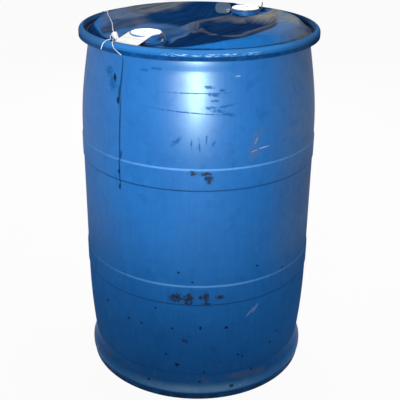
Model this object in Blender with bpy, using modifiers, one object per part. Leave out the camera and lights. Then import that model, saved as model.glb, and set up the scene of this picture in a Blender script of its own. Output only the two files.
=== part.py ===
"""Blow-moulded plastic drum with two screw plugs, neck wires and a corded seal.

Metres, +Z up. The origin is on the floor, in the middle of the foot ring.
The two necks stand on the Y axis: the front one at -Y, the rear one at +Y.
"""
import math

import bmesh
import bpy
from mathutils import Matrix, Vector
from mathutils.bvhtree import BVHTree

# Gap that touching pieces keep, and the merge distance of every turned shape
GAP = 0.0003
MERGE = 0.00001

# Shell: a barrel between a straight shoulder wall and a waist over the foot ring
BARREL_R = 0.2916
SHOULDER_DROP = 0.0211
WAIST_DROP = 0.0106
WALL = 0.0042
RIM_Z = 0.8795
SHOULDER_WALL = 0.0345
SHOULDER_FALL = 0.2
BARREL_LOW_Z = 0.262
WAIST_Z = 0.0715
SHOULDER_Z = RIM_Z - SHOULDER_WALL
BARREL_TOP_Z = SHOULDER_Z - SHOULDER_FALL
SHOULDER_R = BARREL_R - SHOULDER_DROP
WAIST_R = BARREL_R - WAIST_DROP

# Two moulded bands round the barrel, one below its upper end and one above its lower end
BAND_WIDTH = 0.049
BAND_DROP = 0.041
BAND_LIFT = 0.0445
BAND_RISE = 0.0018
BAND_EDGE = 0.0022
BAND_HEIGHTS = (BARREL_TOP_Z - BAND_DROP, BARREL_LOW_Z + BAND_LIFT)

# Base of the shell, inside the foot ring
FOOT_SEAT_DEPTH = 0.0025
BASE_Z = 0.0083
BASE_CHAMFER = 0.016
BASE_CHAMFER_RISE = 0.0257
BASE_FLAT = 0.028
BASE_DISH = 0.012
FOOT_SEAT_R = WAIST_R - FOOT_SEAT_DEPTH

# Domed head: outer flank, crest circle and the low ground between its ridges
HEAD_RISE = 0.0255
CREST_INSET = 0.0285
FLANK_INSET = 0.002
LAND_FALL = 0.007
FLOOR_SINK = 0.021
DISH_WALL = 0.042
SPINE_HALF = 0.007
POUR_DROP = 0.017
POUR_LEFT_START = 34.0
POUR_LEFT_END = 58.0
POUR_RIGHT_START = 20.0
POUR_RIGHT_END = 56.0
HEAD_Z = RIM_Z + HEAD_RISE
FLOOR_Z = HEAD_Z - FLOOR_SINK
CREST_R = SHOULDER_R - CREST_INSET
FLANK_R = SHOULDER_R - FLANK_INSET

# Places of the ridges and dishes, counted inwards from the crest circle
LAND_RUN = 0.11
CHORD_INSET = 0.085
DISH_FRONT_INSET = 0.142
DISH_REAR_INSET = 0.087
SPINE_INSET = 0.135
SPINE_WALK = 0.055
SPINE_REAR_Y = -0.005
CHORD_X = CREST_R - CHORD_INSET
DISH_FRONT_Y = DISH_FRONT_INSET - CREST_R
DISH_REAR_Y = CREST_R - DISH_REAR_INSET
SPINE_FRONT_Y = SPINE_INSET - CREST_R

# Round wells where the necks stand
BUNG_INSET = 0.0755
WELL_DEPTH = 0.005
WELL_R = 0.050
WELL_WALL = 0.022
BOSS_RISE = 0.004
BOSS_SINK = 0.0025
BUNG_R = SHOULDER_R - BUNG_INSET
WELL_Z = FLOOR_Z - WELL_DEPTH
BOSS_Z = WELL_Z + BOSS_RISE

# Top ring: an L section welded to the shoulder wall
RING_RISE = 0.015
RING_DROP = 0.0075
RING_WEB = 0.0068
RING_GROOVE = 0.007
RING_WALL = 0.013
RING_ROUND = 0.0105
RING_EDGE = 0.002
RING_TOP_Z = RIM_Z + RING_RISE
RING_LOW_Z = RIM_Z - RING_DROP
RING_IN_R = SHOULDER_R + RING_GROOVE
RING_OUT_R = RING_IN_R + RING_WALL

# Foot ring: a flared skirt under the waist with a leg below the base
FOOT_FLARE = 0.0095
FOOT_EDGE_Z = 0.029
FOOT_FACE = 0.0125
FOOT_STEP = 0.003
FOOT_LEG = 0.022
FOOT_FLARE_POINTS = 4
FOOT_OUT_R = WAIST_R + FOOT_FLARE

# Screw closure: thread, plug flange and the neck that takes them
PITCH = 0.004
THREAD_TURNS = 3
THREAD_R = 0.0282
THREAD_DEPTH = 0.0019
THREAD_ROOT = 0.0017
THREAD_CREST = 0.001
THREAD_SINK = 0.0003
THREAD_PLAY = 0.0006
STEM_R = THREAD_R - THREAD_DEPTH
BORE_R = THREAD_R + THREAD_PLAY
STEM_WALL = 0.0048
STEM_LENGTH = 0.0215
FLANGE_R = 0.0342
FLANGE_THICK = 0.0042
FLANGE_EDGE = 0.0006
PLUG_ROOF = 0.009
PLUG_PROUD = 0.002
RECESS_LENGTH = 0.040
RECESS_WIDTH = 0.007
RECESS_DEPTH = 0.003
GASKET_THICK = 0.0022
GASKET_PLAY = 0.0004
GASKET_IN_R = THREAD_R + GASKET_PLAY
GASKET_OUT_R = FLANGE_R - THREAD_PLAY
COUNTERBORE_R = FLANGE_R + THREAD_PLAY
NECK_RIM = 0.0012
NECK_HEIGHT = 0.0205
NECK_R = COUNTERBORE_R + NECK_RIM
NECK_RIDGE = 0.0014
NECK_RIDGE_WIDTH = 0.003
NECK_SLOPE = 0.0012
NECK_FOOT_R = 0.040
NECK_FOOT_THICK = 0.0032
NECK_STEM_R = 0.0330
NECK_TAIL = 0.012
SEAT_MARGIN = 0.0015

# Heights in the closure, from the rim of the neck downwards
NECK_RIM_Z = BOSS_Z + NECK_HEIGHT
PLUG_TOP_Z = NECK_RIM_Z + PLUG_PROUD
FLANGE_LOW_Z = PLUG_TOP_Z - FLANGE_THICK
GASKET_TOP_Z = FLANGE_LOW_Z - GAP
GASKET_LOW_Z = GASKET_TOP_Z - GASKET_THICK
GASKET_SEAT_Z = GASKET_LOW_Z - GAP
STEM_LOW_Z = FLANGE_LOW_Z - STEM_LENGTH
PLUG_THREAD_Z = STEM_LOW_Z + THREAD_ROOT
NECK_THREAD_Z = PLUG_THREAD_Z + PITCH / 2

# Binding wires round the necks, each with a twisted tail
WIRE_R = 0.0008
WIRE_TILT = 0.004
WIRE_DROP = 0.004
WIRE_BEARING = 37.5
TWIST_TURNS = 2
TWIST_LENGTH = 0.019
TWIST_SPREAD = 0.00025
TWIST_LEAN = 0.18
LOOP_POINTS = 24
TWIST_POINTS = 8
WIRE_LOOP_Z = NECK_RIM_Z - WIRE_DROP
LOOP_R = NECK_R + GAP + WIRE_R
TWIST_STAND_OFF = NECK_FOOT_R + GAP - LOOP_R
TWIST_R = WIRE_R + TWIST_SPREAD

# Paper tag in front of the front neck, wedged between it and the top ring
TAG_LEFT = 0.031
TAG_RIGHT = 0.036
TAG_THICK = 0.0008
TAG_NOTCH_GAP = 0.0012
TAG_REST = 0.003
TAG_SINK = 0.006
NOTCH_POINTS = 9
TAG_HIGH_Z = NECK_RIM_Z - TAG_REST
TAG_LOW_Z = RING_TOP_Z - TAG_SINK

# Rear tag, leaning beside the rear neck, with a metal eyelet
REAR_TAG_WIDTH = 0.040
REAR_TAG_LENGTH = 0.030
REAR_TAG_THICK = 0.0012
REAR_TAG_LEAN = 35.0
REAR_TAG_CORNER = 0.004
EYELET_IN_R = 0.0022
EYELET_OUT_R = 0.0045
EYELET_LIP = 0.0008
EYELET_INSET = 0.0075
EYELET_WALL = 0.0008

# Seal block leaning on the front left flank, held up by its stiff cords
SEAL_INSET = 0.0265
SEAL_PLACE = 257.2
SEAL_BEARING = 165.0
SEAL_LEAN = 55.0
SEAL_LENGTH = 0.021
SEAL_WIDTH = 0.0115
SEAL_THICK = 0.0095
SEAL_EDGE = 0.0022
CORD_R = 0.0009
CORD_CLEAR = 0.0009
CORD_BEND = 0.006
CORD_SPAN_SHARE = 0.879
CORD_REST = 0.0125
CORD_HANG = 0.004
CORD_REACH = 0.011
CORD_LEAD = 0.005
TAIL_LEAD = 0.005
TAIL_HIGH = 0.005
TAIL_LOW = -0.005
RING_ANGLES = (-22.0, 0.0, 30.0, 60.0)

# Facets of the large turned pieces and of the closures
DRUM_STEPS = 48
NECK_STEPS = 24
EYELET_STEPS = 14
HEAD_RINGS = 13
SHOULDER_RINGS = 6
WAIST_RINGS = 4
INNER_RINGS = 4


def clear_scene():
    for old in list(bpy.data.objects):
        bpy.data.objects.remove(old, do_unlink=True)


def new_collection(name):
    made = bpy.data.collections.new(name)
    bpy.context.scene.collection.children.link(made)
    return made


def material(name, colour, roughness, metallic=0.0):
    made = bpy.data.materials.new(name)
    made.use_nodes = True
    shader = made.node_tree.nodes["Principled BSDF"]
    shader.inputs["Base Color"].default_value = (*colour, 1.0)
    shader.inputs["Roughness"].default_value = roughness
    shader.inputs["Metallic"].default_value = metallic
    return made


def add_mesh(name, mesh, finish, home):
    made = bpy.data.objects.new(name, mesh)
    if finish:
        mesh.materials.append(finish)
    home.objects.link(made)
    if home is cutters:
        made.hide_render = True
        made.display_type = "WIRE"
    return made


def turned(name, chains, steps, finish, home):
    """Turn open or closed profiles of (radius, height) round the Z axis."""
    points = []
    edges = []
    for chain, closed in chains:
        first = len(points)
        points += [(radius, 0.0, height) for radius, height in chain]
        last = len(points) - 1
        edges += [(i, i + 1) for i in range(first, last)]
        if closed:
            edges.append((last, first))
    mesh = bpy.data.meshes.new(name)
    mesh.from_pydata(points, edges, [])
    made = add_mesh(name, mesh, finish, home)
    screw = made.modifiers.new("turn", "SCREW")
    screw.steps = steps
    screw.render_steps = steps
    screw.use_merge_vertices = True
    screw.merge_threshold = MERGE
    screw.use_smooth_shade = True
    return made


def baked(source):
    """Swap an object's modifiers for the mesh that they make."""
    bpy.context.view_layer.update()
    seen = source.evaluated_get(bpy.context.evaluated_depsgraph_get())
    mesh = bpy.data.meshes.new_from_object(seen)
    source.modifiers.clear()
    source.data = mesh
    return mesh


def boolean(target, tool, operation, solver="EXACT"):
    cut = target.modifiers.new(tool.name, "BOOLEAN")
    cut.operation = operation
    cut.solver = solver
    cut.object = tool


def box(name, size, centre, finish, home, edge=0.0):
    mesh = bpy.data.meshes.new(name)
    shape = bmesh.new()
    place = Matrix.Translation(centre) @ Matrix.Diagonal((*size, 1.0))
    bmesh.ops.create_cube(shape, size=1.0, matrix=place)
    shape.to_mesh(mesh)
    shape.free()
    made = add_mesh(name, mesh, finish, home)
    if edge:
        bevel = made.modifiers.new("edges", "BEVEL")
        bevel.width = edge
        bevel.segments = 2
        bevel.limit_method = "NONE"
    return made


def cylinder(name, radius, low, high):
    """A round cutter with as many facets as the necks."""
    mesh = bpy.data.meshes.new(name)
    shape = bmesh.new()
    place = Matrix.Translation((0.0, 0.0, (low + high) / 2))
    bmesh.ops.create_cone(shape, cap_ends=True, segments=NECK_STEPS, radius1=radius,
                          radius2=radius, depth=high - low, matrix=place)
    shape.to_mesh(mesh)
    shape.free()
    return add_mesh(name, mesh, None, cutters)


def tube(name, points, radius, sides, finish):
    curve = bpy.data.curves.new(name, "CURVE")
    curve.dimensions = "3D"
    curve.bevel_depth = radius
    curve.bevel_resolution = sides
    curve.use_fill_caps = True
    spline = curve.splines.new("POLY")
    spline.points.add(len(points) - 1)
    for point, place in zip(spline.points, points):
        point.co = (*place, 1.0)
    curve.materials.append(finish)
    made = bpy.data.objects.new(name, curve)
    parts.objects.link(made)
    return made


def flat_plate(name, outline, holes, thick, finish):
    """A flat sheet from a 2D outline, with its middle plane on local Z zero."""
    curve = bpy.data.curves.new(name, "CURVE")
    curve.dimensions = "2D"
    curve.fill_mode = "BOTH"
    curve.extrude = thick / 2
    for loop in (outline, *holes):
        spline = curve.splines.new("POLY")
        spline.points.add(len(loop) - 1)
        spline.use_cyclic_u = True
        for point, (x, y) in zip(spline.points, loop):
            point.co = (x, y, 0.0, 1.0)
    curve.materials.append(finish)
    made = bpy.data.objects.new(name, curve)
    parts.objects.link(made)
    return made


def ramp(value, start, end):
    """Smooth step from 0 at start to 1 at end."""
    share = min(1.0, max(0.0, (value - start) / (end - start)))
    return share * share * (3.0 - 2.0 * share)


def spine_x(y):
    """Ridge between the low ground on the left and the dish on the right."""
    return SPINE_WALK * (1.0 - ramp(y, SPINE_FRONT_Y, SPINE_REAR_Y))


def crest_height(x, y):
    """Height of the crest circle, lower at the pour side of the front neck."""
    bearing = math.degrees(math.atan2(-x, -y))
    left = 1.0 - ramp(bearing, POUR_LEFT_START, POUR_LEFT_END)
    right = 1.0 - ramp(-bearing, POUR_RIGHT_START, POUR_RIGHT_END)
    return HEAD_Z - POUR_DROP * left * right


def low_ground(x, y):
    """Share of the floor's depth at a place inside the crest."""
    side = x - spine_x(y)
    inside_chord = ramp(CHORD_X - abs(x), 0.0, DISH_WALL)
    before_rear = ramp(DISH_REAR_Y - y, 0.0, DISH_WALL)
    off_spine = ramp(abs(side), SPINE_HALF, SPINE_HALF + DISH_WALL)
    right_end = ramp(y, DISH_FRONT_Y, DISH_FRONT_Y + DISH_WALL)
    front_end = 1.0 if side < 0.0 else right_end
    return inside_chord * before_rear * off_spine * front_end


def head_height(x, y):
    radius = math.hypot(x, y)
    crest = crest_height(x, y)
    down = min(1.0, max(0.0, (radius - CREST_R) / (FLANK_R - CREST_R)))
    land = crest - LAND_FALL * ramp(CREST_R - radius, 0.0, LAND_RUN)
    height = land + (min(FLOOR_Z, land) - land) * low_ground(x, y)
    height += (RIM_Z - height) * down
    from_bung = math.hypot(x, abs(y) - BUNG_R)
    well = 1.0 - ramp(from_bung, WELL_R, WELL_R + WELL_WALL)
    return height + (WELL_Z - height) * well


def barrel_radius(z):
    """Radius of the shell's wall between the shoulder and the waist."""
    if z > BARREL_TOP_Z:
        share = (SHOULDER_Z - z) / (SHOULDER_Z - BARREL_TOP_Z)
        return SHOULDER_R + SHOULDER_DROP * math.sin(share * math.pi / 2)
    if z < BARREL_LOW_Z:
        share = (BARREL_LOW_Z - z) / (BARREL_LOW_Z - WAIST_Z)
        return BARREL_R - WAIST_DROP * share * share
    return BARREL_R


def polar(radius, bearing, height):
    turn = math.radians(bearing)
    return Vector((radius * math.cos(turn), radius * math.sin(turn), height))


def between(start, end, count):
    return [start + (end - start) * i / count for i in range(count + 1)]


def shell_profiles():
    """The outer skin, top to bottom, and the inner skin, bottom to top."""
    crest_rings = between(0.0, CREST_R, HEAD_RINGS)
    radii = crest_rings + between(CREST_R, FLANK_R, 2)[1:]
    outer = [(radius, HEAD_Z) for radius in radii]
    outer.append((SHOULDER_R, RIM_Z))
    outer += [(barrel_radius(z), z) for z in between(SHOULDER_Z, BARREL_TOP_Z, SHOULDER_RINGS)]
    for middle in BAND_HEIGHTS:
        top = middle + BAND_WIDTH / 2
        low = middle - BAND_WIDTH / 2
        outer.append((BARREL_R, top + BAND_EDGE))
        outer.append((BARREL_R + BAND_RISE, top))
        outer.append((BARREL_R + BAND_RISE, low))
        outer.append((BARREL_R, low - BAND_EDGE))
    lower = between(BARREL_LOW_Z, WAIST_Z, WAIST_RINGS)
    outer += [(barrel_radius(z), z) for z in lower]
    outer.append((FOOT_SEAT_R, WAIST_Z))
    outer.append((FOOT_SEAT_R, BASE_Z + BASE_CHAMFER_RISE))
    outer.append((FOOT_SEAT_R - BASE_CHAMFER, BASE_Z))
    outer.append((FOOT_SEAT_R - BASE_CHAMFER - BASE_FLAT, BASE_Z))
    outer.append((0.0, BASE_Z + BASE_DISH))

    inner = [(0.0, BASE_Z + BASE_DISH + WALL)]
    inner.append((FOOT_SEAT_R - BASE_CHAMFER - BASE_FLAT, BASE_Z + WALL))
    inner.append((FOOT_SEAT_R - BASE_CHAMFER - WALL / 2, BASE_Z + WALL))
    inner.append((FOOT_SEAT_R - WALL, BASE_Z + BASE_CHAMFER_RISE + WALL / 2))
    inner.append((FOOT_SEAT_R - WALL, WAIST_Z))
    inner += [(barrel_radius(z) - WALL, z) for z in lower[2::-1]]
    inner += [(barrel_radius(z) - WALL, z) for z in between(BARREL_TOP_Z, SHOULDER_Z, INNER_RINGS)]
    inner.append((SHOULDER_R - WALL, RIM_Z - WALL))
    inner += [(inner_share() * radius, HEAD_Z - WALL) for radius in reversed(radii)]
    return outer, inner


def inner_share():
    return (FLANK_R - WALL) / FLANK_R


def shape_head(mesh):
    """Lift the flat head of the turned shell to its ridges, dishes and wells."""
    share = inner_share()
    for vertex in mesh.vertices:
        x, y, z = vertex.co
        if abs(z - HEAD_Z) < MERGE:
            vertex.co.z = head_height(x, y)
        elif abs(z - (HEAD_Z - WALL)) < MERGE:
            vertex.co.z = head_height(x / share, y / share) - WALL


def make_shell():
    outer, inner = shell_profiles()
    shell = turned("drum_shell", [(outer, False), (inner, False)], DRUM_STEPS, None, parts)
    mesh = baked(shell)
    shape_head(mesh)
    mesh.materials.append(material("blue_shell_plastic", (0.035, 0.16, 0.52), 0.38))
    seat_r = NECK_FOOT_R + SEAT_MARGIN
    hole_low = WELL_Z - NECK_TAIL
    for side, y in NECK_PLACES.items():
        boss = cylinder(side + "_neck_boss", seat_r, WELL_Z - BOSS_SINK, BOSS_Z)
        hole = cylinder(side + "_neck_hole", NECK_STEM_R + GAP, hole_low, PLUG_TOP_Z)
        # The shell is one skin inside another, which the exact solver loses
        for tool, operation in ((boss, "UNION"), (hole, "DIFFERENCE")):
            tool.location.y = y
            boolean(shell, tool, operation, "MANIFOLD")
    return shell


def skin_of(source):
    bpy.context.view_layer.update()
    return BVHTree.FromObject(source, bpy.context.evaluated_depsgraph_get())


def ground(x, y):
    """Height of the shell's faceted head, where small pieces lie."""
    return head_skin.ray_cast(Vector((x, y, 2 * HEAD_Z)), Vector((0.0, 0.0, -1.0)))[0].z


def make_top_ring():
    """L section: a web on the shoulder wall and a rounded rim outside the groove."""
    arc = [(RING_OUT_R - RING_ROUND + RING_ROUND * math.sin(math.radians(a)),
            RING_TOP_Z - RING_ROUND + RING_ROUND * math.cos(math.radians(a)))
           for a in range(0, 91, 18)]
    section = [(RING_IN_R + RING_EDGE / 2, RING_TOP_Z)] + arc
    section.append((RING_OUT_R, RING_LOW_Z + RING_EDGE))
    section.append((RING_OUT_R - RING_EDGE, RING_LOW_Z))
    section.append((SHOULDER_R + GAP, RING_LOW_Z))
    section.append((SHOULDER_R + GAP, RING_LOW_Z + RING_WEB))
    section.append((RING_IN_R - RING_EDGE, RING_LOW_Z + RING_WEB))
    section.append((RING_IN_R, RING_LOW_Z + RING_WEB + RING_EDGE))
    section.append((RING_IN_R, RING_TOP_Z - RING_EDGE / 2))
    finish = material("blue_top_ring_plastic", (0.045, 0.18, 0.54), 0.4)
    turned("top_ring", [(section, True)], DRUM_STEPS, finish, parts)


def make_foot_ring():
    """Flared skirt whose leg runs under the base and stands on the floor."""
    lip_r = FOOT_SEAT_R + GAP
    lip_z = WAIST_Z - GAP
    section = [(lip_r, lip_z)]
    for share in between(0.0, 1.0, FOOT_FLARE_POINTS):
        height = lip_z + (FOOT_EDGE_Z - lip_z) * share
        section.append((WAIST_R + FOOT_FLARE * share * share, height))
    section.append((FOOT_OUT_R, FOOT_EDGE_Z - FOOT_FACE))
    section.append((FOOT_OUT_R - FOOT_STEP, FOOT_EDGE_Z - FOOT_FACE))
    section.append((FOOT_OUT_R - FOOT_STEP, 0.0))
    leg_r = FOOT_SEAT_R - BASE_CHAMFER - FOOT_LEG
    section.append((leg_r, 0.0))
    section.append((leg_r, BASE_Z - GAP))
    section.append((FOOT_SEAT_R - BASE_CHAMFER + GAP / 2, BASE_Z - GAP))
    section.append((lip_r, BASE_Z + BASE_CHAMFER_RISE - GAP / 2))
    finish = material("blue_foot_ring_plastic", (0.03, 0.13, 0.42), 0.45)
    turned("foot_ring", [(section, True)], DRUM_STEPS, finish, parts)


def thread(name, root_r, crest_r, start_z):
    """A helical ridge with flat ends, sunk a little into the wall that carries it."""
    inward = 1.0 if crest_r > root_r else -1.0
    root_r -= inward * THREAD_SINK
    ridge = [(root_r, start_z + THREAD_ROOT / 2), (crest_r, start_z + THREAD_CREST / 2),
             (crest_r, start_z - THREAD_CREST / 2), (root_r, start_z - THREAD_ROOT / 2)]
    made = turned(name, [(ridge, True)], NECK_STEPS, None, cutters)
    screw = made.modifiers["turn"]
    screw.use_merge_vertices = False
    screw.screw_offset = PITCH
    screw.iterations = THREAD_TURNS
    mesh = baked(made)
    shape = bmesh.new()
    shape.from_mesh(mesh)
    bmesh.ops.remove_doubles(shape, verts=shape.verts, dist=MERGE)
    rims = [edge for edge in shape.edges if edge.is_boundary]
    bmesh.ops.holes_fill(shape, edges=rims, sides=0)
    bmesh.ops.recalc_face_normals(shape, faces=shape.faces)
    shape.to_mesh(mesh)
    shape.free()
    return made


def make_neck(side, y, finish):
    """Moulded neck: ridged outside, counterbored for the flange, threaded inside."""
    wall_r = NECK_R - NECK_RIDGE
    section = [(COUNTERBORE_R, NECK_RIM_Z)]
    height = NECK_RIM_Z
    foot_z = BOSS_Z + GAP + NECK_FOOT_THICK
    for _ in range(2):
        section.append((NECK_R, height))
        section.append((NECK_R, height - NECK_RIDGE_WIDTH))
        section.append((wall_r, height - NECK_RIDGE_WIDTH - NECK_SLOPE))
        height -= 2 * NECK_RIDGE_WIDTH + NECK_SLOPE
        section.append((wall_r, height + NECK_SLOPE))
    section.append((wall_r, foot_z + NECK_SLOPE))
    section.append((NECK_FOOT_R, foot_z))
    section.append((NECK_FOOT_R, BOSS_Z + GAP))
    section.append((NECK_STEM_R, BOSS_Z + GAP))
    section.append((NECK_STEM_R, WELL_Z - NECK_TAIL))
    section.append((BORE_R, WELL_Z - NECK_TAIL))
    section.append((BORE_R, GASKET_SEAT_Z))
    section.append((COUNTERBORE_R, GASKET_SEAT_Z))
    neck = turned(side + "_neck", [(section, True)], NECK_STEPS, finish, parts)
    crest_r = STEM_R + THREAD_PLAY
    ridge = thread(side + "_neck_thread", BORE_R, crest_r, NECK_THREAD_Z)
    boolean(neck, ridge, "UNION")
    for piece in (neck, ridge):
        piece.location.y = y


def make_plug(side, y, finish):
    """Hollow screw plug with a flat flange and a cross recess for the wrench."""
    inside_r = STEM_R - STEM_WALL
    section = [(0.0, PLUG_TOP_Z), (FLANGE_R - FLANGE_EDGE, PLUG_TOP_Z)]
    section.append((FLANGE_R, PLUG_TOP_Z - FLANGE_EDGE))
    section.append((FLANGE_R, FLANGE_LOW_Z))
    section.append((STEM_R, FLANGE_LOW_Z))
    section.append((STEM_R, STEM_LOW_Z))
    section.append((inside_r, STEM_LOW_Z))
    section.append((inside_r, PLUG_TOP_Z - PLUG_ROOF))
    section.append((0.0, PLUG_TOP_Z - PLUG_ROOF))
    plug = turned(side + "_plug", [(section, False)], NECK_STEPS, finish, parts)
    ridge = thread(side + "_plug_thread", STEM_R, THREAD_R, PLUG_THREAD_Z)
    boolean(plug, ridge, "UNION")
    centre = (0.0, 0.0, PLUG_TOP_Z)
    depth = 2 * RECESS_DEPTH
    long_slot = box(side + "_recess_x", (RECESS_LENGTH, RECESS_WIDTH, depth), centre, None, cutters)
    cross_slot = box(side + "_recess_y", (RECESS_WIDTH, RECESS_LENGTH, depth), centre, None, cutters)
    boolean(plug, long_slot, "DIFFERENCE")
    boolean(plug, cross_slot, "DIFFERENCE")
    for piece in (plug, ridge, long_slot, cross_slot):
        piece.location.y = y


def make_gasket(side, y, finish):
    section = [(GASKET_IN_R, GASKET_TOP_Z), (GASKET_OUT_R, GASKET_TOP_Z),
               (GASKET_OUT_R, GASKET_LOW_Z), (GASKET_IN_R, GASKET_LOW_Z)]
    gasket = turned(side + "_plug_gasket", [(section, True)], NECK_STEPS, finish, parts)
    gasket.location.y = y


def least_gap(points, radius):
    """Least gap of a tube to itself, between points that aren't near along it."""
    near = 4
    reach = [(a - b).length for i, a in enumerate(points) for b in points[i + near:]]
    return min(reach) - 2 * radius


def wire_route(y, lift):
    """One wire: in along the twist, round the neck, and out along the twist."""
    turn = math.radians(WIRE_BEARING)
    out = Vector((math.cos(turn), math.sin(turn), 0.0))
    across = Vector((-out.y, out.x, 0.0))
    axis = (out * TWIST_LEAN + Vector((0.0, 0.0, lift))).normalized()
    side = axis.cross(across).normalized()
    neck = Vector((0.0, y, WIRE_LOOP_Z))
    root = neck + out * (LOOP_R + TWIST_STAND_OFF)
    start = 0.5 * math.copysign(math.pi, lift)

    def strand(sign):
        steps = TWIST_TURNS * TWIST_POINTS
        points = []
        for i in range(steps + 1):
            angle = 2.0 * math.pi * i / TWIST_POINTS + (0.0 if sign > 0 else math.pi)
            along = axis * (TWIST_LENGTH * i / steps)
            points.append(root + along + TWIST_R * (across * math.cos(angle)
                                                    + side * math.sin(angle)))
        return points

    free = math.asin((TWIST_STAND_OFF + WIRE_R) / LOOP_R)
    loop = []
    for i in range(LOOP_POINTS + 1):
        angle = turn + free + (2.0 * math.pi - 2.0 * free) * i / LOOP_POINTS
        rise = -WIRE_TILT * math.cos(angle - math.radians(WIRE_BEARING) - start)
        place = Vector((math.cos(angle) * LOOP_R, math.sin(angle) * LOOP_R, rise))
        loop.append(neck + place)
    return list(reversed(strand(1.0))) + loop + strand(-1.0)


def make_wire(side, y, lift, finish):
    points = wire_route(y, lift)
    print(side, "binding wire, least gap to itself, mm:", round(1000 * least_gap(points, WIRE_R), 2))
    tube(side + "_binding_wire", points, WIRE_R, 1, finish)


def make_paper_tag():
    """White tag with a notch round the neck, sloping down to the top ring."""
    far_y = -math.sqrt((RING_IN_R - GAP) ** 2 - TAG_RIGHT ** 2)
    notch_r = NECK_R + TAG_NOTCH_GAP
    near_y = -BUNG_R - notch_r
    slope = math.atan2(TAG_HIGH_Z - TAG_LOW_Z, near_y - far_y)
    wide = math.asin(min(1.0, TAG_LEFT / notch_r))
    arc = [wide - 2.0 * wide * i / (NOTCH_POINTS - 1) for i in range(NOTCH_POINTS)]
    stretch = 1.0 / math.cos(slope)
    outline = [(-notch_r * math.sin(a), (notch_r - notch_r * math.cos(a)) * stretch) for a in arc]
    length = (near_y - far_y) * stretch
    outline.append((TAG_RIGHT, outline[-1][1]))
    outline.append((TAG_RIGHT, -length))
    outline.append((-TAG_LEFT, -length))
    tag = flat_plate("front_paper_tag", outline, [], TAG_THICK,
                     material("white_paper", (0.86, 0.86, 0.84), 0.8))
    tag.location = (0.0, near_y, TAG_HIGH_Z)
    tag.rotation_euler.x = slope


def make_rear_tag():
    """Blue-grey tag leaning beside the rear neck, with its eyelet through a corner."""
    half = REAR_TAG_WIDTH / 2
    corner = REAR_TAG_CORNER
    outline = [(-half, 0.0), (half, 0.0), (half, REAR_TAG_LENGTH - corner),
               (half - corner, REAR_TAG_LENGTH), (corner - half, REAR_TAG_LENGTH),
               (-half, REAR_TAG_LENGTH - corner)]
    middle = Vector((half - EYELET_INSET, EYELET_INSET, 0.0))
    hole_r = EYELET_OUT_R - EYELET_WALL - EYELET_LIP + GAP
    hole = [(middle.x + hole_r * math.cos(2 * math.pi * i / EYELET_STEPS),
             middle.y + hole_r * math.sin(2 * math.pi * i / EYELET_STEPS))
            for i in range(EYELET_STEPS)]
    tag = flat_plate("rear_tag", outline, [hole], REAR_TAG_THICK,
                     material("blue_grey_tag", (0.2, 0.27, 0.36), 0.6))
    bearing = math.radians(WIRE_BEARING)
    sideways = Vector((math.cos(bearing), math.sin(bearing), 0.0))
    back = Vector((-sideways.y, sideways.x, 0.0))
    lean = math.radians(REAR_TAG_LEAN)
    upward = back * math.sin(lean) + Vector((0.0, 0.0, math.cos(lean)))
    normal = sideways.cross(upward)
    foot = Vector((0.0, BUNG_R, 0.0)) - sideways * (LOOP_R + WIRE_R + GAP + half) - back * half
    reach = [foot + sideways * step for step in between(-half, half, 8)]
    foot.z = max(ground(place.x, place.y) for place in reach) + REAR_TAG_THICK
    frame = Matrix((sideways, upward, normal)).transposed().to_4x4()
    tag.matrix_world = Matrix.Translation(foot) @ frame

    pin_r = hole_r - GAP
    face = REAR_TAG_THICK / 2 + GAP
    lip = face + EYELET_LIP
    section = [(EYELET_IN_R, lip), (EYELET_OUT_R, lip), (EYELET_OUT_R, face), (pin_r, face),
               (pin_r, -face), (EYELET_OUT_R, -face), (EYELET_OUT_R, -lip), (EYELET_IN_R, -lip)]
    eyelet = turned("rear_tag_eyelet", [(section, True)], EYELET_STEPS,
                    material("pale_eyelet_metal", (0.75, 0.74, 0.7), 0.4, 0.6), parts)
    eyelet.matrix_world = Matrix.Translation(foot) @ frame @ Matrix.Translation(middle)


def make_seal_block():
    """Seal block with its lower end on the flank and its upper end leaning back."""
    block = box("front_seal_block", (SEAL_LENGTH, SEAL_WIDTH, SEAL_THICK), (0.0, 0.0, 0.0),
                material("white_seal_plastic", (0.85, 0.85, 0.83), 0.5), parts, SEAL_EDGE)
    bearing = math.radians(SEAL_BEARING)
    lean = math.radians(SEAL_LEAN)
    level = Vector((math.cos(bearing), math.sin(bearing), 0.0))
    along = level * math.cos(lean) + Vector((0.0, 0.0, math.sin(lean)))
    across = Vector((-level.y, level.x, 0.0))
    frame = Matrix((along, across, along.cross(across))).transposed().to_4x4()
    place = Matrix.Translation(polar(SHOULDER_R - SEAL_INSET, SEAL_PLACE, HEAD_Z)) @ frame
    corners = [place @ vertex.co for vertex in baked(block).vertices]
    sink = min(corner.z - ground(corner.x, corner.y) for corner in corners)
    block.matrix_world = Matrix.Translation((0.0, 0.0, GAP - sink)) @ place
    return block.matrix_world.copy()


def rounded_route(points, reach, count):
    """A route along straight runs, with a smooth bend of that reach at each corner."""
    route = [points[0]]
    for before, corner, after in zip(points, points[1:], points[2:]):
        back = before - corner
        on = after - corner
        start = corner + back.normalized() * min(reach, back.length / 2)
        end = corner + on.normalized() * min(reach, on.length / 2)
        for share in between(0.0, 1.0, count):
            route.append(start.lerp(corner, share).lerp(corner.lerp(end, share), share))
    route.append(points[-1])
    kept = route[:1]
    for place in route[1:]:
        if (place - kept[-1]).length > CORD_R / 2:
            kept.append(place)
    return kept


def on_head(radius, bearing):
    """A place where the cord lies on the head."""
    place = polar(radius, bearing, 0.0)
    return polar(radius, bearing, bed(place.x, place.y))


def bed(x, y):
    """Height of a cord's middle where it lies on the highest facet near a place."""
    near = (-2 * CORD_R, 0.0, 2 * CORD_R)
    return max(ground(x + dx, y + dy) for dx in near for dy in near) + CORD_R + GAP


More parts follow.
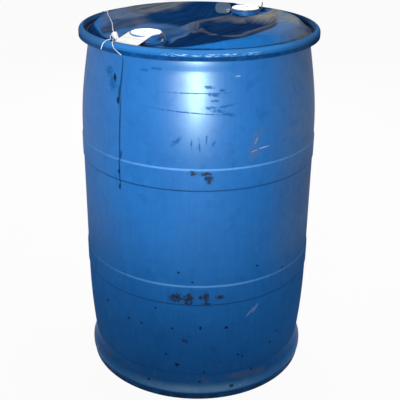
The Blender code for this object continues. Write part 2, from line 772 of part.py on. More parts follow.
def laid(route):
    """Lift the points of a route over the head that would sink into it."""
    over_head = [math.hypot(place.x, place.y) < FLANK_R - 2 * CORD_R for place in route]
    return [Vector((place.x, place.y, max(place.z, bed(place.x, place.y)))) if over else place
            for place, over in zip(route, over_head)]


def over_ring(bearing, angle):
    """A place on the cord's way over the rounded top of the ring."""
    lift = math.radians(angle)
    reach = RING_ROUND + CORD_R + CORD_CLEAR
    radius = RING_OUT_R - RING_ROUND + reach * math.sin(lift)
    return polar(radius, bearing, RING_TOP_Z - RING_ROUND + reach * math.cos(lift))


def down_ring(bearing, share):
    """A place on the cord's way down the outside of the ring."""
    height = RING_TOP_Z - RING_ROUND - CORD_REACH * share
    return polar(RING_OUT_R + CORD_R + CORD_CLEAR, bearing, height)


def round_ring(bearings):
    """The cord's way from the groove over the ring's rounded top."""
    return [over_ring(bearing, angle) for bearing, angle in zip(bearings, RING_ANGLES)]


def make_cords(seal):
    """Seal cord over the head and the left of the ring, and two tails over its front."""
    finish = material("white_cord", (0.8, 0.81, 0.82), 0.85)
    end = SEAL_LENGTH / 2 + 2 * GAP
    side = SEAL_WIDTH / 2 + 2 * GAP
    upper = [seal @ Vector((end, 0.0, 0.0)), seal @ Vector((end + CORD_LEAD, 0.0, 0.0))]
    upper += [polar(CORD_SPAN_SHARE * CREST_R, 233.7, HEAD_Z - GAP), on_head(CREST_R - CORD_REST, 206.8)]
    upper += [on_head(CREST_R, 199.1), polar(FLANK_R, 192.0, RING_TOP_Z + CORD_HANG)]
    upper += round_ring((190, 189.3, 188.4, 187.4))
    upper += [down_ring(186.5, 0.0), down_ring(186, 0.55), down_ring(186, 1.0)]
    tube("seal_cord", laid(rounded_route(upper, CORD_BEND, 3)), CORD_R, 2, finish)
    left = [seal @ Vector((TAIL_HIGH, side, 0.0)), seal @ Vector((TAIL_HIGH, side + TAIL_LEAD, 0.0))]
    left += round_ring((262.6, 262.4, 262.0, 261.4))
    left += [down_ring(260.9, 0.0), down_ring(260.4, 0.4), down_ring(260.1, 0.8)]
    tube("seal_cord_left_tail", rounded_route(left, CORD_BEND, 2), CORD_R, 2, finish)
    right = [seal @ Vector((TAIL_LOW, side, 0.0)), seal @ Vector((TAIL_LOW, side + TAIL_LEAD, 0.0))]
    right += round_ring((264.8, 265.5, 266.3, 267.3))
    right += [down_ring(268.5, 0.0), down_ring(270, 0.4), down_ring(271.5, 0.8)]
    right += [down_ring(272.6, 1.0)]
    tube("seal_cord_right_tail", rounded_route(right, CORD_BEND, 2), CORD_R, 2, finish)


NECK_PLACES = {"front": -BUNG_R, "rear": BUNG_R}

clear_scene()
parts = new_collection("plastic_chemical_drum")
cutters = new_collection("cutters")

neck_finish = material("blue_neck_plastic", (0.04, 0.17, 0.5), 0.42)
plug_finish = material("white_plug_plastic", (0.86, 0.86, 0.85), 0.4)
gasket_finish = material("dark_gasket_rubber", (0.03, 0.03, 0.03), 0.8)
wire_finish = material("dark_binding_wire", (0.03, 0.028, 0.03), 0.5, 0.7)

head_skin = skin_of(make_shell())
make_top_ring()
make_foot_ring()
for neck_side, neck_y in NECK_PLACES.items():
    make_neck(neck_side, neck_y, neck_finish)
    make_plug(neck_side, neck_y, plug_finish)
    make_gasket(neck_side, neck_y, gasket_finish)
make_wire("front", NECK_PLACES["front"], -1.0, wire_finish)
make_wire("rear", NECK_PLACES["rear"], 1.0, wire_finish)
make_paper_tag()
make_rear_tag()
make_cords(make_seal_block())
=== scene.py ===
from math import asin, atan2, copysign, cos, degrees, hypot, pi, radians, sin, sqrt

import bmesh
import bpy
from mathutils import Matrix, Vector


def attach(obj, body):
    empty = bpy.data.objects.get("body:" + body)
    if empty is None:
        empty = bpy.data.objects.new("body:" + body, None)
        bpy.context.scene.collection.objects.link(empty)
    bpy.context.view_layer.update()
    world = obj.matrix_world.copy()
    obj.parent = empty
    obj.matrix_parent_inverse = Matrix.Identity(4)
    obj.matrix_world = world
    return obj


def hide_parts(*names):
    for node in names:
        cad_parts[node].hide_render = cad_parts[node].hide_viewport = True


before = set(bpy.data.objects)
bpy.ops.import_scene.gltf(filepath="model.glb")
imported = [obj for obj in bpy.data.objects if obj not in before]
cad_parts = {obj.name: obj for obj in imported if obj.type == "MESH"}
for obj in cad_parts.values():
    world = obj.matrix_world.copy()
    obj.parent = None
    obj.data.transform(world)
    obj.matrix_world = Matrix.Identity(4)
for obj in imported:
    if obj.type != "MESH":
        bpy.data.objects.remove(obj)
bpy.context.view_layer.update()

# Camera: in front of the drum and to the right of the front neck, a little above the head,
# with the slight roll of a picture taken by hand.
VIEW_BEARING = radians(37.5)
VIEW_TILT = radians(65.93)
VIEW_ROLL = radians(0.575)
VIEW_REACH = 1.9004
VIEW_HEIGHT = 1.2755
VIEW_SIDE = Vector((cos(VIEW_BEARING), sin(VIEW_BEARING), 0.0))
VIEW_AWAY = Vector((-VIEW_SIDE.y, VIEW_SIDE.x, 0.0))


def placed(name, data):
    """A new object in the scene."""
    made = bpy.data.objects.new(name, data)
    bpy.context.scene.collection.objects.link(made)
    return made


def on_view_side(turn, reach, z):
    """A place out from the drum, some degrees to the right of the camera's bearing."""
    bearing = VIEW_BEARING + radians(turn)
    return (reach * sin(bearing), -reach * cos(bearing), z)


camera_data = bpy.data.cameras.new("picture_camera")
camera_data.sensor_width = 36.0
camera_data.lens = 70.47
camera_data.shift_x = 0.0057
camera_data.clip_start = 0.05
camera = placed("picture_camera", camera_data)
camera.matrix_world = (Matrix.Translation(on_view_side(0.0, VIEW_REACH, VIEW_HEIGHT))
                       @ Matrix.Rotation(VIEW_BEARING, 4, "Z") @ Matrix.Rotation(VIEW_TILT, 4, "X")
                       @ Matrix.Rotation(VIEW_ROLL, 4, "Z"))
bpy.context.scene.camera = camera


# Seal block: a small white moulded plastic block that leans over the front left of the head, held
# up by its stiff cords. They go into holes in its end and its side, each with a low collar.
class Signal:
    """A shader socket that Python arithmetic extends with Math nodes."""

    def __init__(self, tree, socket):
        self.tree = tree
        self.socket = socket

    def node(self, kind, inputs, output=0, **settings):
        """Any shader node: its settings first, then the values or links of its sockets."""
        made = self.tree.nodes.new("ShaderNode" + kind)
        for name, value in settings.items():
            setattr(made, name, value)
        self.feed(made, inputs)
        return Signal(self.tree, made.outputs[output])

    def feed(self, node, inputs):
        """Set the values or links of a node's sockets."""
        for name, value in inputs.items():
            if isinstance(value, Signal):
                self.tree.links.new(value.socket, node.inputs[name])
            else:
                node.inputs[name].default_value = value

    def axis(self, index):
        """One of the three coordinates of a vector."""
        return self.node("SeparateXYZ", {0: self}, index)

    def other(self, output):
        """Another output of the same node."""
        return Signal(self.tree, self.socket.node.outputs[output])

    def math(self, operation, *values):
        return self.node("Math", dict(enumerate(values)), operation=operation)

    def __add__(self, value):
        return self.math("ADD", self, value)

    def __sub__(self, value):
        return self.math("SUBTRACT", self, value)

    def __rsub__(self, value):
        return self.math("SUBTRACT", value, self)

    def __mul__(self, value):
        return self.math("MULTIPLY", self, value)

    def __abs__(self):
        return self.math("ABSOLUTE", self)

    def __or__(self, value):
        return self.math("MAXIMUM", self, value)

    __radd__ = __add__
    __rmul__ = __mul__
    __ror__ = __or__


def new_finish(name):
    """A new material and the Object coordinates that its patterns read."""
    made = bpy.data.materials.new(name)
    made.use_nodes = True
    shader = made.node_tree.nodes["Principled BSDF"]
    return made, Signal(made.node_tree, shader.outputs[0]).node("TexCoord", {}, "Object")


def set_shader(place, values):
    """Set the values or links of the Principled shader."""
    place.feed(place.tree.nodes["Principled BSDF"], values)


def step(value, low, high):
    """Smooth share from 0 at low to 1 at high, either way round."""
    return value.node("MapRange", {0: value, 1: low, 2: high}, interpolation_type="SMOOTHSTEP")


def blend(share, first, second):
    """From the first colour to the second."""
    ends = [end if isinstance(end, Signal) else (*end, 1.0) for end in (first, second)]
    return share.node("Mix", {0: share, 6: ends[0], 7: ends[1]}, 2, data_type="RGBA")


def noise(place, scale, detail=3.0, roughness=0.5):
    return place.node("TexNoise", {"Vector": place, "Scale": scale, "Detail": detail,
                                   "Roughness": roughness})


def stretched(place, scale):
    """The same coordinates, drawn out along an axis."""
    return place.node("Mapping", {"Vector": place, "Scale": scale})


def bump(height, distance, strength=1.0):
    return height.node("Bump", {"Strength": strength, "Distance": distance, "Height": height})


def add_piece(name, shape, finish, node, body="drum", crease=40.0):
    """Finish a bmesh as a smooth piece that stands for its CAD node."""
    mesh = bpy.data.meshes.new(name)
    shape.to_mesh(mesh)
    shape.free()
    mesh.shade_smooth()
    mesh.set_sharp_from_angle(angle=radians(crease))
    mesh.materials.append(finish)
    piece = placed(name, mesh)
    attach(piece, body)
    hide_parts(node)
    return piece


def eased(profile, reach, count=3, closed=False):
    """Round the corners of a profile of (radius, height) points."""
    corners = [Vector(point) for point in profile]
    made = [] if closed else [corners[0]]
    last = len(corners) if closed else len(corners) - 1
    for i in range(0 if closed else 1, last):
        corner = corners[i]
        before = corners[i - 1] - corner
        after = corners[(i + 1) % len(corners)] - corner
        start = corner + before.normalized() * min(reach, before.length / 2.2)
        end = corner + after.normalized() * min(reach, after.length / 2.2)
        for k in range(count + 1):
            share = k / count
            made.append(start.lerp(corner, share).lerp(corner.lerp(end, share), share))
    if not closed:
        made.append(corners[-1])
    return [(point.x, point.y) for point in made]


def joined(shape, verts, closed=True):
    """Edges along a row of vertices."""
    return [shape.edges.new(pair) for pair in zip(verts, verts[1:] + (verts[:1] if closed else []))]


def turned(shape, profile, steps, y=0.0, closed=False):
    """Turn a profile of (radius, height) points: a quarter turn, mirrored twice."""
    before = set(shape.faces)
    verts = [shape.verts.new((radius, 0.0, height)) for radius, height in profile]
    bmesh.ops.spin(shape, geom=verts + joined(shape, verts, closed), cent=(0.0, 0.0, 0.0),
                   axis=(0.0, 0.0, 1.0), angle=pi / 2.0, steps=steps // 4, use_merge=False)
    for axis in "XY":
        faces = [face for face in shape.faces if face not in before]
        around = {item for face in faces for item in (*face.verts, *face.edges)}
        bmesh.ops.mirror(shape, geom=faces + list(around), matrix=Matrix.Identity(4), merge_dist=0.00001,
                         axis=axis)
    made = {vert for face in shape.faces if face not in before for vert in face.verts}
    bmesh.ops.translate(shape, vec=(0.0, y, 0.0), verts=list(made))


def merged(shape):
    """Merge the poles and seams of a turned shape."""
    bmesh.ops.remove_doubles(shape, verts=shape.verts, dist=0.000002)


def outward(shape):
    """Turn all faces outwards."""
    bmesh.ops.recalc_face_normals(shape, faces=shape.faces)


def closed_up(shape):
    merged(shape)
    outward(shape)


SEAL_SIZE = Vector((0.021, 0.0115, 0.0095))
SEAL_EDGE = 0.0022
SEAL_MIDDLE = Vector((-0.05406, -0.23794, 0.89356))
SEAL_BEARING = radians(165.0)
SEAL_LEAN = radians(55.0)
TAIL_PLACE = 0.005
CORD_HOLES = (((SEAL_SIZE.x / 2.0, 0.0, 0.0), (1.0, 0.0, 0.0)),
              ((TAIL_PLACE, SEAL_SIZE.y / 2.0, 0.0), (0.0, 1.0, 0.0)),
              ((-TAIL_PLACE, SEAL_SIZE.y / 2.0, 0.0), (0.0, 1.0, 0.0)))

seal_level = Vector((cos(SEAL_BEARING), sin(SEAL_BEARING), 0.0))
seal_along = seal_level * cos(SEAL_LEAN) + Vector((0.0, 0.0, sin(SEAL_LEAN)))
seal_across = Vector((-seal_level.y, seal_level.x, 0.0))
seal_turn = Matrix((seal_along, seal_across, seal_along.cross(seal_across))).transposed().to_4x4()
seal_place = Matrix.Translation(SEAL_MIDDLE) @ seal_turn

seal_shape = bmesh.new()
bmesh.ops.create_cube(seal_shape, size=1.0, matrix=Matrix.Diagonal((*SEAL_SIZE, 1.0)))
bmesh.ops.bevel(seal_shape, geom=seal_shape.edges[:], offset=SEAL_EDGE, offset_type="OFFSET",
                segments=4, profile=0.5, affect="EDGES", material=-1)
collar = eased([(0.0011, 0.00055), (0.0023, 0.00035), (0.0026, -0.0006), (0.0011, -0.0006)],
               reach=0.0003, closed=True)
for middle, facing in CORD_HOLES:
    before = set(seal_shape.verts)
    turned(seal_shape, collar, steps=20, closed=True)
    ring = [vert for vert in seal_shape.verts if vert not in before]
    lay = Vector((0.0, 0.0, 1.0)).rotation_difference(Vector(facing)).to_matrix().to_4x4()
    bmesh.ops.transform(seal_shape, matrix=Matrix.Translation(middle) @ lay, verts=ring)
closed_up(seal_shape)
bmesh.ops.transform(seal_shape, matrix=seal_place, verts=seal_shape.verts)

seal_finish, seal_at = new_finish("white_seal_plastic")
seal_grime = step(noise(seal_at, 260.0, 4.0), 0.52, 0.72)
seal_grain = noise(seal_at, 2400.0, 2.0)
set_shader(seal_at, {
    "Base Color": blend(seal_grime * 0.4, (0.88, 0.88, 0.87), (0.42, 0.4, 0.38)),
    "Roughness": 0.42 + 0.25 * seal_grime,
    "Normal": bump(seal_grain, 0.0002, 0.4)})
seal_block = add_piece("seal_block", seal_shape, seal_finish, "front_seal_block")

# Seal cord and its two tails: thin white three-ply cord. The long run is drawn over the head
# and hooked over the left of the top ring; the tails lie over the front of the ring.
CORD_R = 0.0009
CORD_STEP = 0.0011
CORD_LAY = 0.0065
PLY_DEPTH = 0.11
SEAL_CORD = [
    (-0.0602, -0.2363, 0.9027), (-0.0616, -0.2359, 0.9047), (-0.0628, -0.2352, 0.9058),
    (-0.0647, -0.2337, 0.9065), (-0.0672, -0.2313, 0.9066), (-0.1217, -0.1757, 0.9048),
    (-0.1246, -0.1729, 0.9048), (-0.1275, -0.1702, 0.9047), (-0.1305, -0.1675, 0.9048),
    (-0.2003, -0.1074, 0.9059), (-0.2033, -0.1047, 0.9059), (-0.2062, -0.102, 0.9059),
    (-0.2091, -0.0992, 0.906), (-0.2245, -0.0835, 0.9062), (-0.2274, -0.0807, 0.9062),
    (-0.2304, -0.0782, 0.9062), (-0.2335, -0.0758, 0.9051), (-0.2578, -0.0592, 0.8996),
    (-0.2609, -0.0569, 0.8988), (-0.264, -0.0544, 0.8979), (-0.2669, -0.0519, 0.897),
    (-0.2696, -0.0494, 0.8961), (-0.2719, -0.0477, 0.8958), (-0.2738, -0.0465, 0.8959),
    (-0.2756, -0.0456, 0.896), (-0.2775, -0.0446, 0.8959), (-0.2797, -0.0435, 0.8955),
    (-0.2819, -0.0423, 0.8948), (-0.2838, -0.041, 0.8937), (-0.2857, -0.0396, 0.8924),
    (-0.2872, -0.0382, 0.8908), (-0.2884, -0.0367, 0.889), (-0.2893, -0.0353, 0.8871),
    (-0.2899, -0.0339, 0.885), (-0.2904, -0.0328, 0.883), (-0.2906, -0.0318, 0.881),
    (-0.2906, -0.0311, 0.879), (-0.2907, -0.0307, 0.8772), (-0.2907, -0.0306, 0.8755),
    (-0.2907, -0.0306, 0.873)]
LEFT_TAIL = [
    (-0.0585, -0.2433, 0.8977), (-0.0591, -0.2457, 0.8977), (-0.0586, -0.2486, 0.8976),
    (-0.0556, -0.2524, 0.8973), (-0.0396, -0.2688, 0.8958), (-0.0367, -0.2726, 0.8956),
    (-0.0363, -0.2753, 0.8959), (-0.0372, -0.2777, 0.896), (-0.0384, -0.2805, 0.8955),
    (-0.0399, -0.2831, 0.8943), (-0.0416, -0.2854, 0.8924), (-0.0434, -0.287, 0.8899),
    (-0.0448, -0.288, 0.8871), (-0.0462, -0.2884, 0.8842), (-0.0475, -0.2884, 0.8818),
    (-0.0486, -0.2882, 0.8796), (-0.0495, -0.2881, 0.8774), (-0.0503, -0.2879, 0.8752)]
RIGHT_TAIL = [
    (-0.0529, -0.2448, 0.8895), (-0.0536, -0.2472, 0.8895), (-0.0529, -0.25, 0.8897),
    (-0.0497, -0.2535, 0.8904), (-0.0295, -0.2704, 0.8945), (-0.0257, -0.2739, 0.8953),
    (-0.0235, -0.2767, 0.8959), (-0.0219, -0.2793, 0.896), (-0.0202, -0.2823, 0.8955),
    (-0.0183, -0.2853, 0.8943), (-0.0161, -0.2879, 0.8924), (-0.0135, -0.29, 0.8899),
    (-0.0107, -0.2913, 0.8871), (-0.0075, -0.292, 0.8842), (-0.0038, -0.2922, 0.8818),
    (0.0, -0.2923, 0.8796), (0.0038, -0.2922, 0.8774), (0.0074, -0.2922, 0.8755),
    (0.0105, -0.2921, 0.8741), (0.0133, -0.292, 0.873)]


def even_route(points, spacing):
    """The same route with its points an even spacing apart."""
    points = [Vector(point) for point in points]
    travelled = [0.0]
    for a, b in zip(points, points[1:]):
        travelled.append(travelled[-1] + (b - a).length)
    count = max(2, round(travelled[-1] / spacing))
    route = []
    k = 0
    for i in range(count + 1):
        at = travelled[-1] * i / count
        while k < len(points) - 2 and travelled[k + 1] < at:
            k += 1
        share = (at - travelled[k]) / (travelled[k + 1] - travelled[k])
        route.append(points[k].lerp(points[k + 1], share))
    for _ in range(3):
        inner = [(a + 2.0 * b + c) / 4.0 for a, b, c in zip(route, route[1:], route[2:])]
        route = route[:1] + inner + route[-1:]
    return route


def capped(shape):
    """Close every open end."""
    bmesh.ops.holes_fill(shape, edges=[edge for edge in shape.edges if edge.is_boundary], sides=0)


def laid_tube(route, radius, sides, plies, turns):
    """A straight tube of twisted plies, laid along a route."""
    shape = bmesh.new()
    ring = bmesh.ops.create_circle(shape, cap_ends=False, radius=radius, segments=sides)["verts"]
    for vert in ring:
        angle = atan2(vert.co.y, vert.co.x)
        vert.co *= 1.0 - (PLY_DEPTH - PLY_DEPTH * cos(plies * angle) if plies else 0.0)
    bmesh.ops.spin(shape, geom=shape.verts[:] + shape.edges[:], cent=(0.0, 0.0, 0.0),
                   axis=(0.0, 0.0, 1.0), dvec=(0.0, 0.0, 1.0), angle=2.0 * pi * turns,
                   steps=len(route) - 1, use_merge=False)
    capped(shape)
    side = None
    frames = []
    for i, place in enumerate(route):
        ahead = (route[min(i + 1, len(route) - 1)] - route[max(i - 1, 0)]).normalized()
        side = ahead.orthogonal() if side is None else side - ahead * side.dot(ahead)
        side.normalize()
        turn = Matrix((side, ahead.cross(side), ahead)).transposed().to_4x4()
        frames.append(Matrix.Translation(place) @ turn)
    for vert in shape.verts:
        vert.co = frames[round(vert.co.z)] @ Vector((vert.co.x, vert.co.y, 0.0))
    outward(shape)
    return shape


cord_finish, cord_at = new_finish("white_twisted_cord")
cord_grey = step(noise(cord_at, 90.0, 3.0), 0.45, 0.75)
cord_fibre = noise(cord_at, 5200.0, 2.0)
set_shader(cord_at, {
    "Base Color": blend(cord_grey * 0.6, (0.78, 0.79, 0.8), (0.42, 0.41, 0.4)),
    "Roughness": 0.7 + 0.2 * cord_fibre,
    "Normal": bump(cord_fibre, 0.0002, 0.6)})

for name, node, points, carried in (
        ("seal_cord_run", "seal_cord", SEAL_CORD, [seal_block]),
        ("seal_cord_tail_left", "seal_cord_left_tail", LEFT_TAIL, []),
        ("seal_cord_tail_right", "seal_cord_right_tail", RIGHT_TAIL, [])):
    route = even_route(points, CORD_STEP)
    length = sum((b - a).length for a, b in zip(route, route[1:]))
    strand = laid_tube(route, CORD_R, sides=15, plies=3, turns=length / CORD_LAY)
    cord = add_piece(name, strand, cord_finish, node)

# Shell: one blow-moulded polyethylene body. The barrel has two low bands, the foot of the wall
# and the shoulder are drawn in for the welded rings, and the head has ridges, dishes and wells.
BARREL_R = 0.2916
SHOULDER_DROP = 0.0211
SHOULDER_R = BARREL_R - SHOULDER_DROP
WAIST_DROP = 0.0106
WAIST_R = BARREL_R - WAIST_DROP
WALL = 0.0042
RIM_Z = 0.8795
SHOULDER_Z = 0.845
BARREL_TOP_Z = 0.645
BARREL_LOW_Z = 0.262
WAIST_Z = 0.0715
BAND_MIDDLES = (0.604, 0.3065)
BAND_WIDTH = 0.049
BAND_RISE = 0.0018
BAND_EDGE = 0.0022
FOOT_SEAT_R = 0.2785
BASE_Z = 0.0083
BASE_CHAMFER = 0.016
BASE_CHAMFER_RISE = 0.0257
BASE_DISH_R = 0.2345
BASE_DISH = 0.012
HEAD_Z = 0.905
POUR_DROP = 0.017
POUR_LEFT = (58.0, 34.0)
POUR_RIGHT = (56.0, 20.0)
FLOOR_Z = 0.884
CREST_R = 0.242
FLANK_R = 0.2685
CREST_ROUND = 0.16
CROWN_FALL = 0.007
CROWN_RUN = 0.11
DISH_SIDE_X = 0.15706
DISH_BACK_Y = 0.155
DISH_FRONT_Y = -0.1
DISH_SLOPE = 0.042
SPINE_HALF = 0.007
SPINE_WALK = 0.055
SPINE_BEND = (-0.005, -0.107)
BUNG_R = 0.195
WELL_Z = 0.879
WELL_FLOOR_R = 0.05
WELL_OUT_R = 0.072
BOSS_Z = 0.883
BOSS_R = 0.0415
BOSS_SINK = 0.0025
NECK_HOLE_R = 0.0338
HOLE_CUT_R = 0.0362
SHELL_STEPS = 216
# A height that marks the points of the head until head_height gives them theirs
HEAD_MARK = 2.0


def ramp(value, low, high):
    """Smooth share from 0 at low to 1 at high, either way round."""
    share = min(1.0, max(0.0, (value - low) / (high - low)))
    return share * share * (3.0 - 2.0 * share)


def crest_height(x, y):
    """The crest circle, lower at the pour side of the front neck."""
    bearing = degrees(atan2(-x, -y))
    return HEAD_Z - POUR_DROP * ramp(bearing, *POUR_LEFT) * ramp(-bearing, *POUR_RIGHT)


def spine_x(y):
    """The ridge between the low ground on the left and the dish on the right."""
    return SPINE_WALK * ramp(y, *SPINE_BEND)


def low_ground(x, y):
    """Share of the floor's depth: a dish at each side of the spine."""
    side = x - spine_x(y)
    share = ramp(DISH_SIDE_X - abs(x), 0.0, DISH_SLOPE) * ramp(DISH_BACK_Y - y, 0.0, DISH_SLOPE)
    share *= ramp(abs(side) - SPINE_HALF, 0.0, DISH_SLOPE)
    return share if side < 0.0 else share * ramp(y - DISH_FRONT_Y, 0.0, DISH_SLOPE)


def head_height(x, y):
    radius = hypot(x, y)
    down = (radius - CREST_R) / (FLANK_R - CREST_R)
    if abs(down) < CREST_ROUND:
        down = (down + CREST_ROUND) ** 2 / (4.0 * CREST_ROUND)
    down = min(1.0, max(0.0, down))
    land = crest_height(x, y) - CROWN_FALL * ramp(CREST_R - radius, 0.0, CROWN_RUN)
    height = land + (min(FLOOR_Z, land) - land) * low_ground(x, y)
    height += (RIM_Z - height) * down
    well = ramp(hypot(x, abs(y) - BUNG_R), WELL_OUT_R, WELL_FLOOR_R)
    return height + (WELL_Z - height) * well


def wavered(x, y):
    """A place on the head, moved a little so that no patch of dirt ends along a straight line."""
    moved_x = x + 0.004 * sin(41.0 * y + 1.3) + 0.002 * sin(97.0 * y + 30.0 * x)
    return moved_x, y + 0.006 * sin(37.0 * x + 0.4) + 0.003 * sin(83.0 * x + 25.0 * y)


def soil_edge_x(y):
    """Left edge of the dark soil, where a thin line of dust has settled."""
    return max(0.0, -0.33 * (y + 0.036))


DISH_LINES = (
    ((-0.021, -0.03), (0.01, -0.028), (0.045, -0.04), (0.078, -0.048), (0.111, -0.072), (0.144, -0.094),
     (0.166, -0.092), (0.17, -0.07), (0.164, -0.041), (0.159, 0.016), (0.1565, 0.049), (0.151, 0.083),
     (0.143, 0.13)),
    ((-0.012, -0.014), (0.004, 0.015), (0.006, 0.057), (0.014, 0.1), (0.045, 0.135)))


def in_view(x, y):
    """A place on the head as the camera sees it: rightward, and foreshortened depth."""
    place = Vector((x, y, 0.0))
    return Vector((place.dot(VIEW_SIDE), 0.3 * place.dot(VIEW_AWAY)))


def dish_line_gap(x, y):
    """Seen distance from the lines of dust along the right dish."""
    place = in_view(x, y)
    gaps = []
    for line in DISH_LINES:
        for start, end in zip(line, line[1:]):
            start = in_view(*start)
            reach = in_view(*end) - start
            share = min(1.0, max(0.0, (place - start).dot(reach) / reach.length_squared))
            gaps.append((place - start - reach * share).length)
    return min(gaps)


def right_flank(x, y):
    """Share of the head's flank at the right of the picture."""
    return ramp(in_view(x, y).x, 0.17, 0.235) * ramp(hypot(x, y), CREST_R - 0.03, CREST_R)


def head_dust(x, y):
    """Dust on the pad, the hump, the dish's rim, the soil's edge and the right flank."""
    sunk = low_ground(x, y)
    flank = 0.6 * right_flank(x, y)
    inside = ramp(CREST_R + 0.004 - hypot(x, y), 0.0, 0.01)
    inside *= ramp(hypot(x, abs(y) - BUNG_R), 0.052, 0.066)
    x, y = wavered(x, y)
    rim = 0.52 * ramp(dish_line_gap(x, y), 0.0095, 0.0)
    pad = ramp(-x, 0.14, 0.172) * (0.45 + 0.55 * ramp(y, -0.135, -0.105))
    hump = ramp(x, 0.02, 0.06) * ramp(y, 0.06, 0.14) * (1.0 - sunk)
    right = 0.35 * ramp(x, 0.14, 0.17) * ramp(y, -0.08, 0.08) * (1.0 - sunk)
    line = 0.65 * ramp(abs(x - soil_edge_x(y)), 0.011, 0.001) * ramp(y, -0.02, -0.05)
    patch = 0.4 * ramp(hypot(x + 0.022, y + 0.024), 0.034, 0.004)
    floor = 0.32 * ramp(-x, -0.01, 0.03) * ramp(y, 0.0, -0.06)
    return max(flank, inside * max(pad, hump, right, rim, line, patch, floor))


def head_soil_and_shade(x, y):
    """Dark dirt in and before the right dish, behind the left one and round the necks; painted shade on
    the pad's inner wall and in the ring's groove; darker on the flank at the right of the picture.
    """
    bearing = degrees(atan2(x, -y))
    drawn_in = 0.052 * ramp(bearing, 44.0, 90.0) * ramp(bearing, 170.0, 130.0)
    inside = ramp(CREST_R + 0.002 - drawn_in - hypot(x, y), 0.0, 0.008)
    neck = ramp(hypot(x, abs(y) - BUNG_R), 0.064, 0.048)
    # Painted shade along the foot of the flank, where the ring's top hides the groove; it reaches further
    # in where the crest is lower.
    groove_r = CREST_R + 0.0025 + 0.0125 * (1.0 - (HEAD_Z - crest_height(x, y)) / POUR_DROP)
    groove_shade = 0.9 * ramp(hypot(x, y), groove_r - 0.001, groove_r + 0.0015)
    flank = 0.4 * right_flank(x, y)
    x, y = wavered(x, y)
    right = ramp(x - soil_edge_x(y), 0.0, 0.01)
    # Painted shade on the pad's inner wall.
    pad_wall_shade = 0.9 * ramp(-x, 0.114, 0.132) * ramp(-x, 0.168, 0.15)
    back = 0.95 * ramp(y, -0.06, -0.01)
    beside = max(0.5 * ramp(x, -0.1, -0.03), 0.35 * ramp(-x, 0.14, 0.17))
    return max(groove_shade, flank, inside * max(right, pad_wall_shade, back, beside, neck))


def barrel_radius(z):
    if z > BARREL_TOP_Z:
        share = (SHOULDER_Z - z) / (SHOULDER_Z - BARREL_TOP_Z)
        return SHOULDER_R + SHOULDER_DROP * sin(share * pi / 2.0)
    if z < BARREL_LOW_Z:
        return BARREL_R - WAIST_DROP * ((BARREL_LOW_Z - z) / (BARREL_LOW_Z - WAIST_Z)) ** 2
    return BARREL_R


def spread(low, high, count):
    return [low + (high - low) * i / count for i in range(count + 1)]


head_radii = spread(0.0, CREST_R - 0.006, 64) + spread(CREST_R - 0.006, FLANK_R, 13)[1:]
skin = [(radius, HEAD_MARK) for radius in head_radii]
skin += [(SHOULDER_R - 0.0004, RIM_Z - 0.0001), (SHOULDER_R, RIM_Z - 0.0012)]
skin += [(SHOULDER_R, SHOULDER_Z + 0.01), (SHOULDER_R, SHOULDER_Z + 0.002)]
skin += [(barrel_radius(z), z) for z in spread(SHOULDER_Z, BARREL_TOP_Z, 24)]
for middle in BAND_MIDDLES:
    top = middle + BAND_WIDTH / 2.0
    low = middle - BAND_WIDTH / 2.0
    skin += [(BARREL_R, top + BAND_EDGE + 0.004), (BARREL_R, top + BAND_EDGE)]
    skin += [(BARREL_R + BAND_RISE, z) for z in (top, top - 0.004, middle, low + 0.004, low)]
    skin += [(BARREL_R, low - BAND_EDGE), (BARREL_R, low - BAND_EDGE - 0.004)]
    if middle == BAND_MIDDLES[0]:
        skin += [(BARREL_R, z) for z in (0.53, 0.46, 0.39)]
skin += [(barrel_radius(z), z) for z in spread(BARREL_LOW_Z, WAIST_Z, 16)]
skin += [(FOOT_SEAT_R, WAIST_Z - 0.0005), (FOOT_SEAT_R, BASE_Z + BASE_CHAMFER_RISE)]
skin += [(FOOT_SEAT_R - BASE_CHAMFER, BASE_Z), (BASE_DISH_R, BASE_Z)]
skin += [(radius, BASE_Z + BASE_DISH * (1.0 - (radius / BASE_DISH_R) ** 2))
         for radius in spread(0.2, 0.0, 6)]

shell_shape = bmesh.new()
turned(shell_shape, skin, SHELL_STEPS)
closed_up(shell_shape)
# Per-vertex dust of the head, and its dirt together with painted shade.
dust_layer = shell_shape.verts.layers.float.new("dust")
soil_and_shade_layer = shell_shape.verts.layers.float.new("soil_and_shade")
for vert in shell_shape.verts:
    if abs(vert.co.z - HEAD_MARK) < 0.01:
        vert.co.z = head_height(vert.co.x, vert.co.y)
        vert[dust_layer] = head_dust(vert.co.x, vert.co.y)
        vert[soil_and_shade_layer] = head_soil_and_shade(vert.co.x, vert.co.y)


def from_neck(place):
    return Vector((place.x, abs(place.y) - BUNG_R))


in_holes = [face for face in shell_shape.faces if face.calc_center_median().z > RIM_Z - 0.01
            and from_neck(face.calc_center_median()).length < HOLE_CUT_R]
bmesh.ops.delete(shell_shape, geom=in_holes, context="FACES")
for vert in [vert for vert in shell_shape.verts if vert.is_boundary]:
    reach = from_neck(vert.co).normalized() * NECK_HOLE_R
    vert.co = Vector((reach.x, copysign(BUNG_R + reach.y, vert.co.y), WELL_Z))
outward(shell_shape)
bmesh.ops.solidify(shell_shape, geom=shell_shape.faces[:], thickness=WALL)
boss = eased([(NECK_HOLE_R, WELL_Z - BOSS_SINK), (NECK_HOLE_R, BOSS_Z), (BOSS_R, BOSS_Z),
              (BOSS_R + 0.001, WELL_Z - BOSS_SINK)], reach=0.0012, closed=True)
for y in (-BUNG_R, BUNG_R):
    before = set(shell_shape.faces)
    turned(shell_shape, boss, 96, y, closed=True)
    bmesh.ops.recalc_face_normals(shell_shape, faces=[f for f in shell_shape.faces if f not in before])

PLASTIC_BLUE = (0.016, 0.16, 0.5)
PLASTIC_FADED = (0.045, 0.23, 0.58)
PLASTIC_DEEP = (0.008, 0.095, 0.33)
